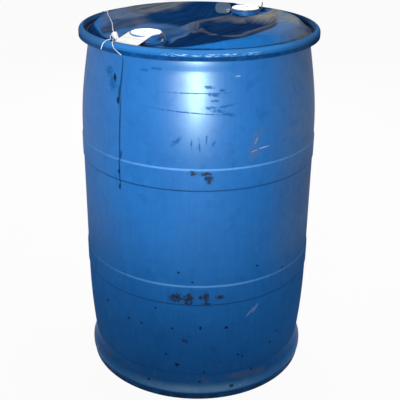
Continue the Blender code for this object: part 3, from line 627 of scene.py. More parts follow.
# Deep navy of the head's dirt, also used for painted shade under the ring and the bands.
HEAD_DEEP = (0.003, 0.016, 0.068)
DUST_GREY = (0.165, 0.185, 0.196)
DUST_TAN = (0.27, 0.27, 0.226)
DIRT_DARK = (0.01, 0.012, 0.018)
DIRT_BROWN = (0.056, 0.045, 0.038)


def layered(colour, *layers):
    """Other colours laid over a first one in turn, each by its share."""
    for share, laid in layers:
        colour = blend(share, colour, laid)
    return colour


def plastic_blue(place):
    """Faintly clouded blue of moulded polyethylene."""
    cloud = noise(place, 5.0, 4.0, 0.55)
    fine = noise(place, 38.0, 3.0, 0.6)
    return layered(PLASTIC_BLUE, (step(cloud, 0.4, 0.75) * 0.35, PLASTIC_DEEP),
                   (step(fine, 0.5, 0.85) * 0.25, PLASTIC_FADED))


def unrolled(place):
    """Distance round the barrel from the camera's side, height, and 1 for the places of marks."""
    faced = place.node("Mapping", {"Vector": place, "Rotation": (0.0, 0.0, -VIEW_BEARING)})
    across = faced.axis(0)
    along = across.math("ARCTAN2", across, 0.0 - across.other(1)) * BARREL_R
    return along.node("CombineXYZ", {0: along, 1: across.other(2), 2: 1.0})


def marks(flat, ragged, places):
    """Ragged marks: bearing from the camera's side, height, half width, half height, any slant."""
    found = None
    for bearing, z, half_width, half_height, *slant in places:
        across = radians(bearing) * BARREL_R
        turn = radians(slant[0]) if slant else 0.0
        sides = []
        for a, b, half in ((cos(turn), sin(turn), half_width), (-sin(turn), cos(turn), half_height)):
            weights = (a / half, b / half, -(a * across + b * z) / half)
            sides.append(flat.node("VectorMath", {0: flat, 1: weights}, 1, operation="DOT_PRODUCT"))
        mark = step(sides[0] * sides[0] + sides[1] * sides[1] + ragged, 1.3, 0.45)
        found = mark if found is None else found | mark
    return found


shell_finish, shell_at = new_finish("blue_shell_plastic")
flat = unrolled(shell_at)
along = flat.axis(0)
height = along.other(1)
ragged = (noise(flat, 260.0, 5.0, 0.7) - 0.5) * 4.0
broken = (noise(flat, 140.0, 5.0, 0.75) - 0.5) * 9.0
specks = marks(flat, ragged, [
    (-35.6, 0.2075, 0.0042, 0.0036), (-27.8, 0.2076, 0.0036, 0.0032), (-9.7, 0.0995, 0.006, 0.005),
    (1.9, 0.2159, 0.003, 0.0062), (-51.1, 0.2266, 0.0042, 0.0032), (-8.6, 0.3681, 0.0034, 0.003),
    (4.3, 0.0792, 0.0036, 0.003), (-15.2, 0.129, 0.0036, 0.0032), (14.4, 0.2123, 0.0046, 0.004),
    (21.5, 0.1221, 0.0036, 0.0032), (23.9, 0.1141, 0.0032, 0.003), (29.5, 0.3694, 0.0036, 0.003),
    (46.0, 0.3382, 0.0038, 0.0032), (41.0, 0.1266, 0.0038, 0.0032), (-2.2, 0.344, 0.0032, 0.0026),
    (-20.0, 0.262, 0.0032, 0.003), (-11.8, 0.211, 0.0032, 0.003), (45.5, 0.1522, 0.0036, 0.003),
    (-42.6, 0.814, 0.005, 0.009, 20.0), (-39.5, 0.766, 0.0042, 0.009), (-38.3, 0.6, 0.0034, 0.006),
    (-38.4, 0.562, 0.003, 0.008), (160.0, 0.42, 0.0042, 0.0036), (120.0, 0.2, 0.0046, 0.004),
    (-130.0, 0.16, 0.0046, 0.004)])
drips = marks(flat, ragged * 0.2, [
    (-38.4, 0.805, 0.0026, 0.064, -1.5), (-37.7, 0.7, 0.0024, 0.08), (-37.9, 0.615, 0.0024, 0.062),
    (-37.0, 0.642, 0.0024, 0.013, -12.0), (-38.9, 0.785, 0.0044, 0.016)])
stains = marks(flat, broken, [
    (-10.0, 0.3, 0.017, 0.011), (-3.9, 0.3, 0.012, 0.013), (-3.9, 0.2864, 0.011, 0.005),
    (1.8, 0.302, 0.006, 0.006), (4.3, 0.303, 0.008, 0.014), (4.4, 0.285, 0.011, 0.0046),
    (11.0, 0.301, 0.01, 0.006), (-2.0, 0.6216, 0.011, 0.006), (3.5, 0.6198, 0.013, 0.0046),
    (4.9, 0.607, 0.01, 0.009), (-5.5, 0.176, 0.012, 0.0036, -26.0), (140.0, 0.31, 0.01, 0.008),
    (-120.0, 0.6, 0.008, 0.006)])
scuffs = marks(flat, broken, [
    (25.5, 0.664, 0.016, 0.015), (26.2, 0.694, 0.009, 0.015, -20.0), (24.0, 0.648, 0.007, 0.008),
    (28.8, 0.708, 0.006, 0.009, -20.0), (-47.0, 0.51, 0.007, 0.004), (-46.0, 0.475, 0.005, 0.007)])
scuffs = scuffs * step(noise(stretched(flat, (520.0, 260.0, 1.0)), 1.0, 4.0, 0.65), 0.46, 0.6)
scratches = marks(flat, ragged, [
    (30.5, 0.67, 0.015, 0.0014, 5.0), (27.0, 0.246, 0.0175, 0.0012, 45.7),
    (29.7, 0.2522, 0.016, 0.0012, 53.0), (18.0, 0.834, 0.007, 0.0012), (25.4, 0.665, 0.008, 0.0009, 12.0),
    (26.4, 0.689, 0.009, 0.0009, 62.0), (150.0, 0.5, 0.02, 0.0013, 60.0)])
smears = marks(flat, broken, [
    (-43.5, 0.8, 0.012, 0.017, 25.0), (-47.0, 0.825, 0.013, 0.011), (-20.0, 0.848, 0.016, 0.003),
    (-26.0, 0.842, 0.011, 0.003), (4.5, 0.813, 0.012, 0.0034), (7.0, 0.797, 0.014, 0.0042, -8.0),
    (5.0, 0.769, 0.013, 0.0034, 5.0), (9.0, 0.762, 0.016, 0.0034, -5.0),
    (13.8, 0.7535, 0.014, 0.0034, -10.0), (7.5, 0.784, 0.01, 0.0024), (10.5, 0.806, 0.006, 0.004),
    (12.0, 0.772, 0.02, 0.0022, 8.0), (-1.0, 0.8, 0.08, 0.0013), (-4.5, 0.7585, 0.1, 0.0013, -3.75),
    (-9.0, 0.696, 0.004, 0.012, -35.0), (-11.0, 0.69, 0.003, 0.01, -35.0), (-3.0, 0.69, 0.0016, 0.012),
    (0.5, 0.684, 0.0014, 0.016, 4.0), (3.5, 0.698, 0.0016, 0.011, -3.0),
    (7.0, 0.693, 0.002, 0.012, -30.0)])
hairs = step(noise(stretched(flat, (14.0, 620.0, 1.0)), 1.0, 3.0), 0.6, 0.72)
hairs = hairs * step(noise(flat, 11.0, 2.0), 0.44, 0.6)
scores = step(noise(stretched(flat, (420.0, 16.0, 1.0)), 1.0, 2.0), 0.64, 0.74)
scores = scores * step(noise(flat, 7.0, 2.0), 0.46, 0.62)
worn = hairs | scores
streaks = step(noise(stretched(flat, (150.0, 8.0, 1.0)), 1.0, 4.0, 0.6), 0.45, 0.78)
cloudy = step(noise(flat, 30.0, 5.0, 0.65), 0.48, 0.78)
flecks = step(noise(flat, 380.0, 2.0), 0.7, 0.78)
peppered = step(noise(flat, 170.0, 2.0), 0.7, 0.75) * step(height, 0.4, 0.22)


def band_lines(offset):
    """A thin line at each band, at an offset from its middle."""
    upper, lower = (step(abs(height - (middle + offset)), 0.00323, 0.00095) for middle in BAND_MIDDLES)
    return upper | lower


# Painted highlight along the top edge of each band, strongest towards the camera, and painted shade under
# its lower edge.
frontal = step(abs(along), 0.27, 0.04)
band_top_highlight = band_lines(0.0253) * (0.22 + 0.55 * frontal - 0.3 * cloudy)
band_low_shade = band_lines(-0.0257) * (0.62 - 0.35 * cloudy)

ring_shade = step(height, 0.863, 0.87) * step(height, 0.8775, 0.8745)
# Painted grey reflection, mottled, on the barrel's left and right as seen from the camera; the fine wear
# is laid on more strongly there too.
sides = step(along, 0.15, 0.27) | 0.4 * step(along, -0.15, -0.27)
sides = sides * step(abs(along), 0.6, 0.45) * step(height, 0.24, 0.4)

settled = shell_at.node("Attribute", {}, 2, attribute_name="dust")
soiled_and_shaded = shell_at.node("Attribute", {}, 2, attribute_name="soil_and_shade")
mottled = noise(shell_at, 46.0, 5.0, 0.65)
brushed = step(noise(stretched(shell_at, (85.0, 9.0, 1.0)), 1.0, 4.0, 0.6), 0.36, 0.62)
film = settled * (0.42 + 0.36 * brushed + 0.22 * step(mottled, 0.32, 0.6))
pad_x = shell_at.axis(0)
folds = step(abs(pad_x + 0.198), 0.0024, 0.0008) | step(abs(pad_x + 0.215), 0.002, 0.0006)
low_dirt = step(height, 0.13, 0.075) * step(mottled, 0.45, 0.75)
dust = blend(step(noise(shell_at, 13.0, 3.0) + 0.9 * pad_x, 0.4, 0.6), DUST_GREY, DUST_TAN)

colour = layered(
    plastic_blue(shell_at),
    (streaks * 0.28, PLASTIC_DEEP),
    (cloudy * 0.38, PLASTIC_DEEP),
    ((worn | flecks) * (0.34 + 0.2 * sides), PLASTIC_FADED),
    (sides * (0.12 + 0.25 * step(mottled, 0.35, 0.65)), (0.13, 0.205, 0.31)),
    (band_top_highlight, (0.15, 0.42, 0.86)),
    (band_low_shade, HEAD_DEEP),
    # Dirt and painted shade on the head, and painted shade on the shoulder wall under the ring.
    (soiled_and_shaded * (0.98 - 0.12 * brushed) | ring_shade * 0.65, HEAD_DEEP),
    (low_dirt * 0.25, DIRT_BROWN),
    (smears * 0.55, (0.01, 0.08, 0.27)),
    (drips * 0.75, (0.008, 0.03, 0.09)),
    (film * 0.9 - film * folds * 0.6, dust),
    (scuffs * 0.8, (0.17, 0.155, 0.15)),
    (scratches * 0.75, (0.42, 0.52, 0.62)),
    (stains * 0.85, blend(step(ragged, -0.3, 0.4), DIRT_DARK, DIRT_BROWN)),
    (specks * 0.92 | peppered * 0.6, DIRT_DARK))
dulled = specks | stains | scuffs | smears | drips
gloss = 0.05 + 0.17 * step(height, 0.3, 0.45) + 0.16 * step(height, 0.55, 0.7)
gloss = step(height, 0.874, 0.866) * gloss
swell = noise(shell_at, 9.0, 2.0)
grain = noise(shell_at, 900.0, 2.0)
set_shader(shell_at, {
    "Base Color": colour,
    "Roughness": 0.42 + 0.1 * (mottled - 0.5) + 0.3 * film + 0.2 * dulled,
    "Specular IOR Level": 0.0,
    "Coat Weight": gloss * (1.0 - 0.85 * dulled - 0.3 * worn - 0.25 * cloudy),
    "Coat Roughness": 0.36,
    "Normal": bump(swell * 0.9 + grain * 0.03 - 0.06 * worn, 0.0012, 0.5)})
add_piece("blow_moulded_shell", shell_shape, shell_finish, "drum_shell", crease=30.0)

# Top ring: a polyethylene L section, turned and welded to the shoulder wall. Its rounded rim
# leaves a groove beside the wall, where dirt gathers.
RING_IN_R = 0.2775
RING_OUT_R = 0.2905
RING_TOP_Z = 0.8945
RING_LOW_Z = 0.872
RING_WEB_Z = 0.8788
RING_ROUND = 0.0105
RING_STEPS = 216
WELD_GAP = 0.0003
RING_SEAT_R = SHOULDER_R + WELD_GAP


def turned_ring(profile, steps, y=0.0):
    """A shape of one closed profile, turned."""
    shape = bmesh.new()
    turned(shape, profile, steps, y, closed=True)
    closed_up(shape)
    return shape


rim_arc = [(RING_OUT_R - RING_ROUND + RING_ROUND * sin(radians(angle)),
            RING_TOP_Z - RING_ROUND + RING_ROUND * cos(radians(angle)))
           for angle in range(0, 91, 9)]
ring_inside = eased([(RING_SEAT_R, RING_LOW_Z), (RING_SEAT_R, RING_WEB_Z), (RING_IN_R, RING_WEB_Z),
                     (RING_IN_R, RING_TOP_Z), rim_arc[0]], reach=0.0016)
ring_outside = eased([rim_arc[-1], (RING_OUT_R, RING_LOW_Z), (RING_SEAT_R, RING_LOW_Z)],
                     reach=0.002)
ring_shape = turned_ring(ring_inside + rim_arc[1:] + ring_outside[1:-1], RING_STEPS)

ring_finish, ring_at = new_finish("blue_ring_plastic")
ring_flat = unrolled(ring_at)
ring_along = ring_flat.axis(0)
ring_z = ring_along.other(1)
ring_level = ring_at.node("VectorMath", {0: ring_at, 1: (1.0, 1.0, 0.0)}, operation="MULTIPLY")
ring_r = ring_level.node("VectorMath", {0: ring_level}, 1, operation="LENGTH")
ring_mottle = noise(ring_at, 60.0, 4.0, 0.6)
ring_ripple = noise(stretched(ring_flat, (75.0, 420.0, 1.0)), 1.0, 3.0, 0.6)
groove_dirt = step(ring_r, 0.2797, 0.277) * step(ring_mottle, 0.15, 0.45) * step(ring_z, 0.8885, 0.8815)
# Painted shadow along the ring's inner top edge, beside the groove to the head.
ring_lip_shadow = step(abs(ring_r - 0.2782), 0.0018, 0.0007) * step(ring_z, 0.892, 0.8936)
# Painted shade on the ring's lower half, which is also made rougher.
ring_under_shade = step(ring_z, 0.8836, 0.8802) * (0.7 + 0.3 * step(ring_mottle, 0.3, 0.6))
ring_dust = step(ring_z, 0.888, 0.894) * step(ring_mottle, 0.52, 0.72)
ring_nicks = step(noise(ring_at, 210.0, 3.0, 0.6), 0.6, 0.7)
glints = step(abs(ring_z - 0.8852), 0.004, 0.0014) * step(ring_ripple, 0.5, 0.62)
glints = glints * step(abs(ring_along - 0.026), 0.125, 0.07)
ring_colour = layered(
    plastic_blue(ring_at),
    # Painted light: the ring's upper half lighter.
    (step(ring_z, 0.884, 0.891) * 0.35, (0.07, 0.3, 0.66)),
    (ring_dust * 0.3, DUST_GREY),
    (ring_nicks * 0.3, (0.14, 0.34, 0.64)),
    (ring_under_shade * 0.85, (0.004, 0.036, 0.14)),
    # Painted shade: greyer and darker where the ring turns away from the camera.
    (step(abs(ring_along), 0.16, 0.3) * 0.45, (0.05, 0.1, 0.19)),
    # Dirt in the groove, and the painted shadow along the inner top edge.
    (groove_dirt * 0.92 | ring_lip_shadow * 0.85, (0.036, 0.034, 0.034)),
    (glints * 0.7, (0.62, 0.86, 0.94)))
set_shader(ring_at, {
    "Base Color": ring_colour,
    "Roughness": 0.32 + 0.4 * groove_dirt + 0.2 * ring_dust + 0.3 * ring_under_shade,
    "Specular IOR Level": 0.0,
    "Normal": bump(ring_ripple + 0.3 * ring_mottle + 0.1 * ring_nicks, 0.0014, 0.6)})
add_piece("welded_top_ring", ring_shape, ring_finish, "top_ring", crease=50.0)

# Foot ring: a flared polyethylene skirt welded under the waist, with a stepped outer edge
# and a leg that stands on the floor. Brown dust lies on the flare.
FOOT_OUT_R = 0.2905
FOOT_EDGE_Z = 0.029
FOOT_FACE_Z = 0.0165
FOOT_LEG_R = 0.2405
FOOT_STEP_R = FOOT_OUT_R - 0.003
FOOT_IN_R = FOOT_SEAT_R + WELD_GAP
FOOT_TOP_Z = WAIST_Z - WELD_GAP
FOOT_UNDER_Z = BASE_Z - WELD_GAP
CHAMFER_GAP = 0.0002

flare = [(WAIST_R + (FOOT_OUT_R - WAIST_R) * share * share, FOOT_TOP_Z + (FOOT_EDGE_Z - WAIST_Z) * share)
         for share in spread(0.0, 1.0, 14)]
foot_edge = eased([flare[-2], (FOOT_OUT_R, FOOT_EDGE_Z), (FOOT_OUT_R, FOOT_FACE_Z),
                   (FOOT_STEP_R, FOOT_FACE_Z), (FOOT_STEP_R, 0.0), (FOOT_LEG_R, 0.0),
                   (FOOT_LEG_R, FOOT_UNDER_Z), (FOOT_SEAT_R - BASE_CHAMFER + CHAMFER_GAP, FOOT_UNDER_Z)],
                  reach=0.0016)
foot_top = (FOOT_IN_R, FOOT_TOP_Z)
foot_inside = (FOOT_IN_R, BASE_Z + BASE_CHAMFER_RISE - CHAMFER_GAP)
foot_shape = turned_ring([foot_top] + flare[:-2] + foot_edge + [foot_inside], RING_STEPS)

foot_finish, foot_at = new_finish("blue_foot_plastic")
foot_flat = unrolled(foot_at)
foot_along = foot_flat.axis(0)
foot_z = foot_along.other(1)
foot_ragged = (noise(foot_flat, 120.0, 4.0, 0.65) - 0.5) * 1.8
foot_mottle = noise(foot_at, 34.0, 5.0, 0.65)
foot_patch = marks(foot_flat, foot_ragged, [
    (24.0, 0.056, 0.042, 0.0095), (35.0, 0.05, 0.026, 0.008), (-56.0, 0.05, 0.03, 0.006),
    (150.0, 0.054, 0.03, 0.008)])
foot_patch = foot_patch * (0.35 + 0.65 * step(noise(foot_flat, 240.0, 4.0, 0.65), 0.4, 0.62))
foot_smudge = marks(foot_flat, foot_ragged, [
    (18.3, 0.033, 0.007, 0.0045), (1.8, 0.0511, 0.0046, 0.0036), (30.1, 0.0624, 0.004, 0.0034),
    (-25.0, 0.04, 0.0045, 0.0036)])
foot_fleck = marks(foot_flat, foot_ragged, [
    (22.9, 0.0296, 0.003, 0.0018), (-68.7, 0.032, 0.0036, 0.0022)])
foot_dust = step(foot_z, 0.028, 0.034) * step(foot_z, 0.072, 0.05) * step(foot_mottle, 0.45, 0.75) * 0.5
# Painted highlight on the outer edge of the flare, brightest and lightest towards the camera.
foot_flare_highlight = step(foot_z, 0.019, 0.025) * step(foot_z, 0.048, 0.028)
foot_flare_highlight = foot_flare_highlight * (0.6 + 0.4 * step(foot_mottle, 0.2, 0.55))
foot_grime = step(foot_z, 0.016, 0.009) * step(foot_mottle, 0.3, 0.6)
# Painted shadow under the step of the outer edge, and a fainter dark joint line at the weld to the waist.
foot_step_shadow_and_weld_line = step(abs(foot_z - 0.0152), 0.0036, 0.0018) | 0.5 * step(abs(foot_z - 0.0715), 0.0026, 0.001)
foot_front = step(abs(foot_along), 0.24, 0.03)
foot_colour = layered(
    plastic_blue(foot_at),
    ((foot_dust | foot_patch) * 0.5, (0.2, 0.18, 0.16)),
    (foot_flare_highlight * (0.55 + 0.3 * foot_front), blend(foot_front, (0.09, 0.34, 0.72), (0.26, 0.54, 0.88))),
    ((foot_grime | foot_smudge | foot_step_shadow_and_weld_line) * 0.75, (0.016, 0.015, 0.016)),
    (foot_fleck * 0.9, (0.62, 0.58, 0.52)))
foot_swell = noise(foot_at, 30.0, 2.0)
set_shader(foot_at, {
    "Base Color": foot_colour,
    "Roughness": 0.4 + 0.3 * (foot_dust | foot_patch) + 0.2 * foot_grime,
    "Specular IOR Level": 0.02,
    "Normal": bump(foot_swell + 0.1 * foot_mottle, 0.0012, 0.5)})
add_piece("welded_foot_ring", foot_shape, foot_finish, "foot_ring", crease=50.0)

# Necks: blue polyethylene, moulded with two collars outside and a thread inside, and welded
# by the foot to the boss in each well of the head.
NECK_R = 0.036
NECK_WALL_R = 0.0346
NECK_RIM_Z = 0.9035
COUNTERBORE_R = 0.0348
GASKET_SEAT_Z = 0.8985
BORE_R = 0.0288
NECK_FOOT_R = 0.04
NECK_FOOT_Z = 0.8833
NECK_STEM_R = 0.033
NECK_TAIL_Z = 0.867
PITCH = 0.004
THREAD_TURNS = 3
THREAD_ROOT = 0.0017
THREAD_CREST = 0.001
THREAD_SINK = 0.0003
THREAD_STEPS = 48
NECK_CREST_R = 0.0269
NECK_THREAD_Z = 0.8835
NECK_STEPS = 96


def thread(shape, y, root_r, crest_r, start_z):
    """A helical ridge on a wall, with closed ends, made first in an empty shape."""
    ridge = [(root_r, THREAD_ROOT / 2.0), (crest_r, THREAD_CREST / 2.0),
             (crest_r, -THREAD_CREST / 2.0), (root_r, -THREAD_ROOT / 2.0)]
    verts = [shape.verts.new((radius, y, start_z + rise)) for radius, rise in ridge]
    bmesh.ops.spin(shape, geom=verts + joined(shape, verts), cent=(0.0, y, 0.0), axis=(0.0, 0.0, 1.0),
                   dvec=(0.0, 0.0, PITCH / THREAD_STEPS), angle=2.0 * pi * THREAD_TURNS,
                   steps=THREAD_STEPS * THREAD_TURNS, use_merge=False)
    capped(shape)


neck_finish, neck_at = new_finish("blue_neck_plastic")
neck_mottle = noise(neck_at, 120.0, 4.0, 0.6)
neck_z = neck_at.axis(2)
neck_dirt = step(neck_z, 0.8905, 0.8875) * step(neck_mottle, 0.3, 0.6)
set_shader(neck_at, {
    "Base Color": blend(neck_dirt * 0.7, plastic_blue(neck_at), DIRT_BROWN),
    "Roughness": 0.36 + 0.12 * neck_mottle + 0.3 * neck_dirt,
    "Specular IOR Level": 0.2,
    "Normal": bump(neck_mottle, 0.0004, 0.4)})

neck_skin = [(COUNTERBORE_R, NECK_RIM_Z), (NECK_R, NECK_RIM_Z), (NECK_R, 0.9005), (NECK_WALL_R, 0.8993),
             (NECK_WALL_R, 0.8975), (NECK_R, 0.8963), (NECK_R, 0.8933), (NECK_WALL_R, 0.8921),
             (NECK_WALL_R, 0.8878), (NECK_FOOT_R, 0.8865), (NECK_FOOT_R, NECK_FOOT_Z),
             (NECK_STEM_R, NECK_FOOT_Z), (NECK_STEM_R, NECK_TAIL_Z), (BORE_R, NECK_TAIL_Z),
             (BORE_R, GASKET_SEAT_Z), (COUNTERBORE_R, GASKET_SEAT_Z)]
for side, y in (("front", -BUNG_R), ("rear", BUNG_R)):
    neck_shape = bmesh.new()
    thread(neck_shape, y, BORE_R + THREAD_SINK, NECK_CREST_R, NECK_THREAD_Z)
    turned(neck_shape, eased(neck_skin, reach=0.0005, count=2, closed=True), NECK_STEPS, y, closed=True)
    closed_up(neck_shape)
    add_piece(side + "_threaded_neck", neck_shape, neck_finish, side + "_neck")

# Screw plugs: hollow white polyethylene, with a thread on the stem, a flat flange and a cross
# recess for the wrench. The gasket of black rubber lies under the flange.
FLANGE_R = 0.0342
PLUG_TOP_Z = 0.9055
FLANGE_LOW_Z = 0.9013
STEM_R = 0.0263
STEM_LOW_Z = 0.8798
PLUG_CREST_R = 0.0282
PLUG_IN_R = 0.0215
PLUG_ROOF_Z = 0.8965
RECESS_HALF = 0.02
RECESS_ARM = 0.0035
RECESS_DEPTH = 0.003
GASKET_IN_R = 0.0286
GASKET_OUT_R = 0.0336
GASKET_TOP_Z = 0.901
GASKET_LOW_Z = 0.8988

plug_finish, plug_at = new_finish("white_plug_plastic")
plug_grime = step(noise(plug_at, 75.0, 5.0, 0.65), 0.5, 0.74)
plug_grain = noise(plug_at, 1500.0, 2.0)
set_shader(plug_at, {
    "Base Color": blend(plug_grime * 0.25, (0.88, 0.88, 0.87), (0.56, 0.55, 0.52)),
    "Roughness": 0.4 + 0.2 * plug_grime,
    "Normal": bump(plug_grain, 0.0002, 0.3)})
gasket_finish, gasket_at = new_finish("black_gasket_rubber")
gasket_bloom = noise(gasket_at, 300.0, 4.0)
set_shader(gasket_at, {
    "Base Color": blend(gasket_bloom, (0.012, 0.012, 0.012), (0.05, 0.05, 0.05)),
    "Roughness": 0.62 + 0.25 * gasket_bloom,
    "Normal": bump(gasket_bloom, 0.0002, 0.4)})

arm = [(RECESS_ARM, RECESS_ARM), (RECESS_ARM, RECESS_HALF), (-RECESS_ARM, RECESS_HALF)]
cross = []
for _ in range(4):
    cross += arm
    arm = [(-b, a) for a, b in arm]
plug_skin = [(FLANGE_R - 0.001, PLUG_TOP_Z)]
plug_skin += eased([(FLANGE_R - 0.001, PLUG_TOP_Z), (FLANGE_R, PLUG_TOP_Z), (FLANGE_R, FLANGE_LOW_Z),
                    (STEM_R, FLANGE_LOW_Z), (STEM_R, STEM_LOW_Z), (PLUG_IN_R, STEM_LOW_Z),
                    (PLUG_IN_R, PLUG_ROOF_Z), (0.0, PLUG_ROOF_Z)], reach=0.0005)[1:]
gasket_skin = eased([(GASKET_IN_R, GASKET_TOP_Z), (GASKET_OUT_R, GASKET_TOP_Z),
                     (GASKET_OUT_R, GASKET_LOW_Z), (GASKET_IN_R, GASKET_LOW_Z)],
                    reach=0.0006, closed=True)
for side, y in (("front", -BUNG_R), ("rear", BUNG_R)):
    plug_shape = bmesh.new()
    thread(plug_shape, y, STEM_R - THREAD_SINK, PLUG_CREST_R, STEM_LOW_Z + THREAD_ROOT)
    turned(plug_shape, plug_skin, NECK_STEPS, y)
    merged(plug_shape)
    rim = [edge for edge in plug_shape.edges if edge.is_boundary]
    slot_verts = [plug_shape.verts.new((a, y + b, PLUG_TOP_Z)) for a, b in cross]
    slot_edges = joined(plug_shape, slot_verts)
    bmesh.ops.triangle_fill(plug_shape, edges=rim + slot_edges, use_beauty=True)
    walls = bmesh.ops.extrude_edge_only(plug_shape, edges=slot_edges)["geom"]
    sunk = [item for item in walls if isinstance(item, bmesh.types.BMVert)]
    bmesh.ops.translate(plug_shape, vec=(0.0, 0.0, -RECESS_DEPTH), verts=sunk)
    capped(plug_shape)
    outward(plug_shape)
    add_piece(side + "_screw_plug_white", plug_shape, plug_finish, side + "_plug",
              side + "_screw_plug")
    add_piece(side + "_rubber_gasket", turned_ring(gasket_skin, NECK_STEPS, y), gasket_finish,
              side + "_plug_gasket", side + "_gasket")

# Binding wires: dark annealed steel wire, wound once round each neck under the rim. The two
# ends are twisted together; the front twist hangs down and the rear one stands up.
WIRE_R = 0.0008
WIRE_STEP = 0.0008
LOOP_STEPS = 72
LOOP_R = 0.0371
LOOP_Z = 0.8995
LOOP_TILT = 0.004
TWIST_TURNS = 3
TWIST_STEPS = 16
TWIST_LENGTH = 0.019
TWIST_R = 0.00098
TWIST_OFF = 0.0032
TWIST_LEAN = 0.18

wire_finish, wire_at = new_finish("dark_annealed_wire")
wire_rust = step(noise(wire_at, 420.0, 4.0, 0.6), 0.5, 0.7)
set_shader(wire_at, {
    "Base Color": blend(wire_rust * 0.7, (0.055, 0.055, 0.06), (0.1, 0.05, 0.03)),
    "Metallic": 0.5 - 0.35 * wire_rust,
    "Roughness": 0.5 + 0.3 * wire_rust,
    "Normal": bump(wire_rust, 0.0001, 0.4)})


def tied_wire(y, lift):
    """In along the twist, round the neck, and out along the twist."""
    axis = (VIEW_SIDE * TWIST_LEAN + Vector((0.0, 0.0, lift))).normalized()
    depth = axis.cross(VIEW_AWAY).normalized()
    neck = Vector((0.0, y, LOOP_Z))
    root = neck + VIEW_SIDE * (LOOP_R + TWIST_OFF)
    strands = []
    for phase in (0.0, pi):
        strand = []
        for share in spread(0.0, 1.0, TWIST_TURNS * TWIST_STEPS):
            angle = 2.0 * pi * TWIST_TURNS * share + phase
            turn = VIEW_AWAY * cos(angle) + depth * sin(angle)
            strand.append(root + axis * (TWIST_LENGTH * share) + TWIST_R * turn)
        strands.append(strand)
    free = asin((TWIST_OFF + WIRE_R) / LOOP_R)
    loop = []
    for angle in spread(VIEW_BEARING + free, VIEW_BEARING + 2.0 * pi - free, LOOP_STEPS):
        rise = -LOOP_TILT * cos(angle - VIEW_BEARING - copysign(pi / 2.0, lift))
        loop.append(neck + Vector((cos(angle) * LOOP_R, sin(angle) * LOOP_R, rise)))
    return strands[0][::-1] + loop + strands[1]


for side, y, lift in (("front", -BUNG_R, -1.0), ("rear", BUNG_R, 1.0)):
    route = even_route(tied_wire(y, lift), WIRE_STEP)
    strand = laid_tube(route, WIRE_R, sides=10, plies=0, turns=0.0)
    add_piece(side + "_tied_wire", strand, wire_finish, side + "_binding_wire")

# Paper tag: a blank sheet of white coated paper with a crease near its far long edge, notched to
# go round the front neck and wedged behind the top ring. Painted shade darkens that crease and a
# line near the other long edge, where the sheet has no fold.
TAG_LEFT = -0.031
TAG_RIGHT = 0.036
TAG_NEAR_Y = -0.2322
TAG_FAR_Y = -0.2748
TAG_HIGH_Z = 0.9008
TAG_LOW_Z = 0.8888
TAG_NOTCH_R = 0.0372
TAG_NOTCH_X = 0.031
TAG_FOLD_Y = -0.2658
TAG_NEAR_FOLD_Y = -0.242
TAG_FOLD_DEPTH = 0.0005
TAG_FOLD_HALF = 0.0035
TAG_CURL = 0.0006
TAG_THICK = 0.0004

tag_shape = bmesh.new()
bmesh.ops.create_grid(tag_shape, x_segments=34, y_segments=28, size=0.5)
tag_slope = (TAG_HIGH_Z - TAG_LOW_Z) / (TAG_NEAR_Y - TAG_FAR_Y)
for vert in tag_shape.verts:
    x = TAG_LEFT + (TAG_RIGHT - TAG_LEFT) * (vert.co.x + 0.5)
    notch_x = min(abs(x), TAG_NOTCH_X)
    near_y = -BUNG_R - sqrt(TAG_NOTCH_R ** 2 - notch_x ** 2)
    y = TAG_FAR_Y + (near_y - TAG_FAR_Y) * (vert.co.y + 0.5)
    z = TAG_LOW_Z + tag_slope * (y - TAG_FAR_Y)
    fold = TAG_FOLD_DEPTH * ramp(abs(y - TAG_FOLD_Y), TAG_FOLD_HALF, 0.0)
    curl = TAG_CURL * sin(pi * (vert.co.x + 0.5)) * sin(pi * (vert.co.y + 0.5))
    vert.co = Vector((x, y, z + curl - fold))
tag_area = sum(face.calc_area() for face in tag_shape.faces)
outward(tag_shape)
bmesh.ops.solidify(tag_shape, geom=tag_shape.faces[:], thickness=TAG_THICK)

tag_finish, tag_at = new_finish("white_coated_paper")
tag_fibre = noise(tag_at, 900.0, 4.0, 0.65)
tag_soil = step(noise(tag_at, 48.0, 4.0, 0.6), 0.52, 0.76)
tag_y = tag_at.axis(1)
# Painted shade along the two crease lines.
tag_crease_shade = (step(abs(tag_y - TAG_FOLD_Y), 0.0016, 0.0008)
             | step(abs(tag_y - TAG_NEAR_FOLD_Y), 0.0016, 0.0008))
set_shader(tag_at, {
    "Base Color": blend(tag_soil * 0.25 | tag_crease_shade * 0.6, (0.9, 0.9, 0.89), (0.62, 0.59, 0.55)),
    "Roughness": 0.62 + 0.2 * tag_fibre,
    "Normal": bump(tag_fibre, 0.0002, 0.35)})
tag = add_piece("paper_tag", tag_shape, tag_finish, "front_paper_tag")

# Rear tag: a blank blue-grey plastic sheet that leans on the head beside the rear neck, with
# round corners and a dull metal eyelet pressed through its lower corner.
REAR_TAG_HALF = 0.02
REAR_TAG_LENGTH = 0.03
REAR_TAG_THICK = 0.0012
REAR_TAG_CORNER = 0.0145
REAR_TAG_LEAN = radians(35.0)
REAR_TAG_FOOT = Vector((-0.034, 0.1437, 0.89303))
EYELET_INSET = 0.0075
EYELET_HOLE_R = 0.0032
EYELET_IN_R = 0.0022
EYELET_STEM_R = 0.0029
EYELET_LIP_R = 0.0045
EYELET_TOP = 0.0017
EYELET_UNDER = 0.0009

tag_up = VIEW_AWAY * sin(REAR_TAG_LEAN) + Vector((0.0, 0.0, cos(REAR_TAG_LEAN)))
rear_turn = Matrix((VIEW_SIDE, tag_up, VIEW_SIDE.cross(tag_up))).transposed().to_4x4()
rear_place = Matrix.Translation(REAR_TAG_FOOT) @ rear_turn

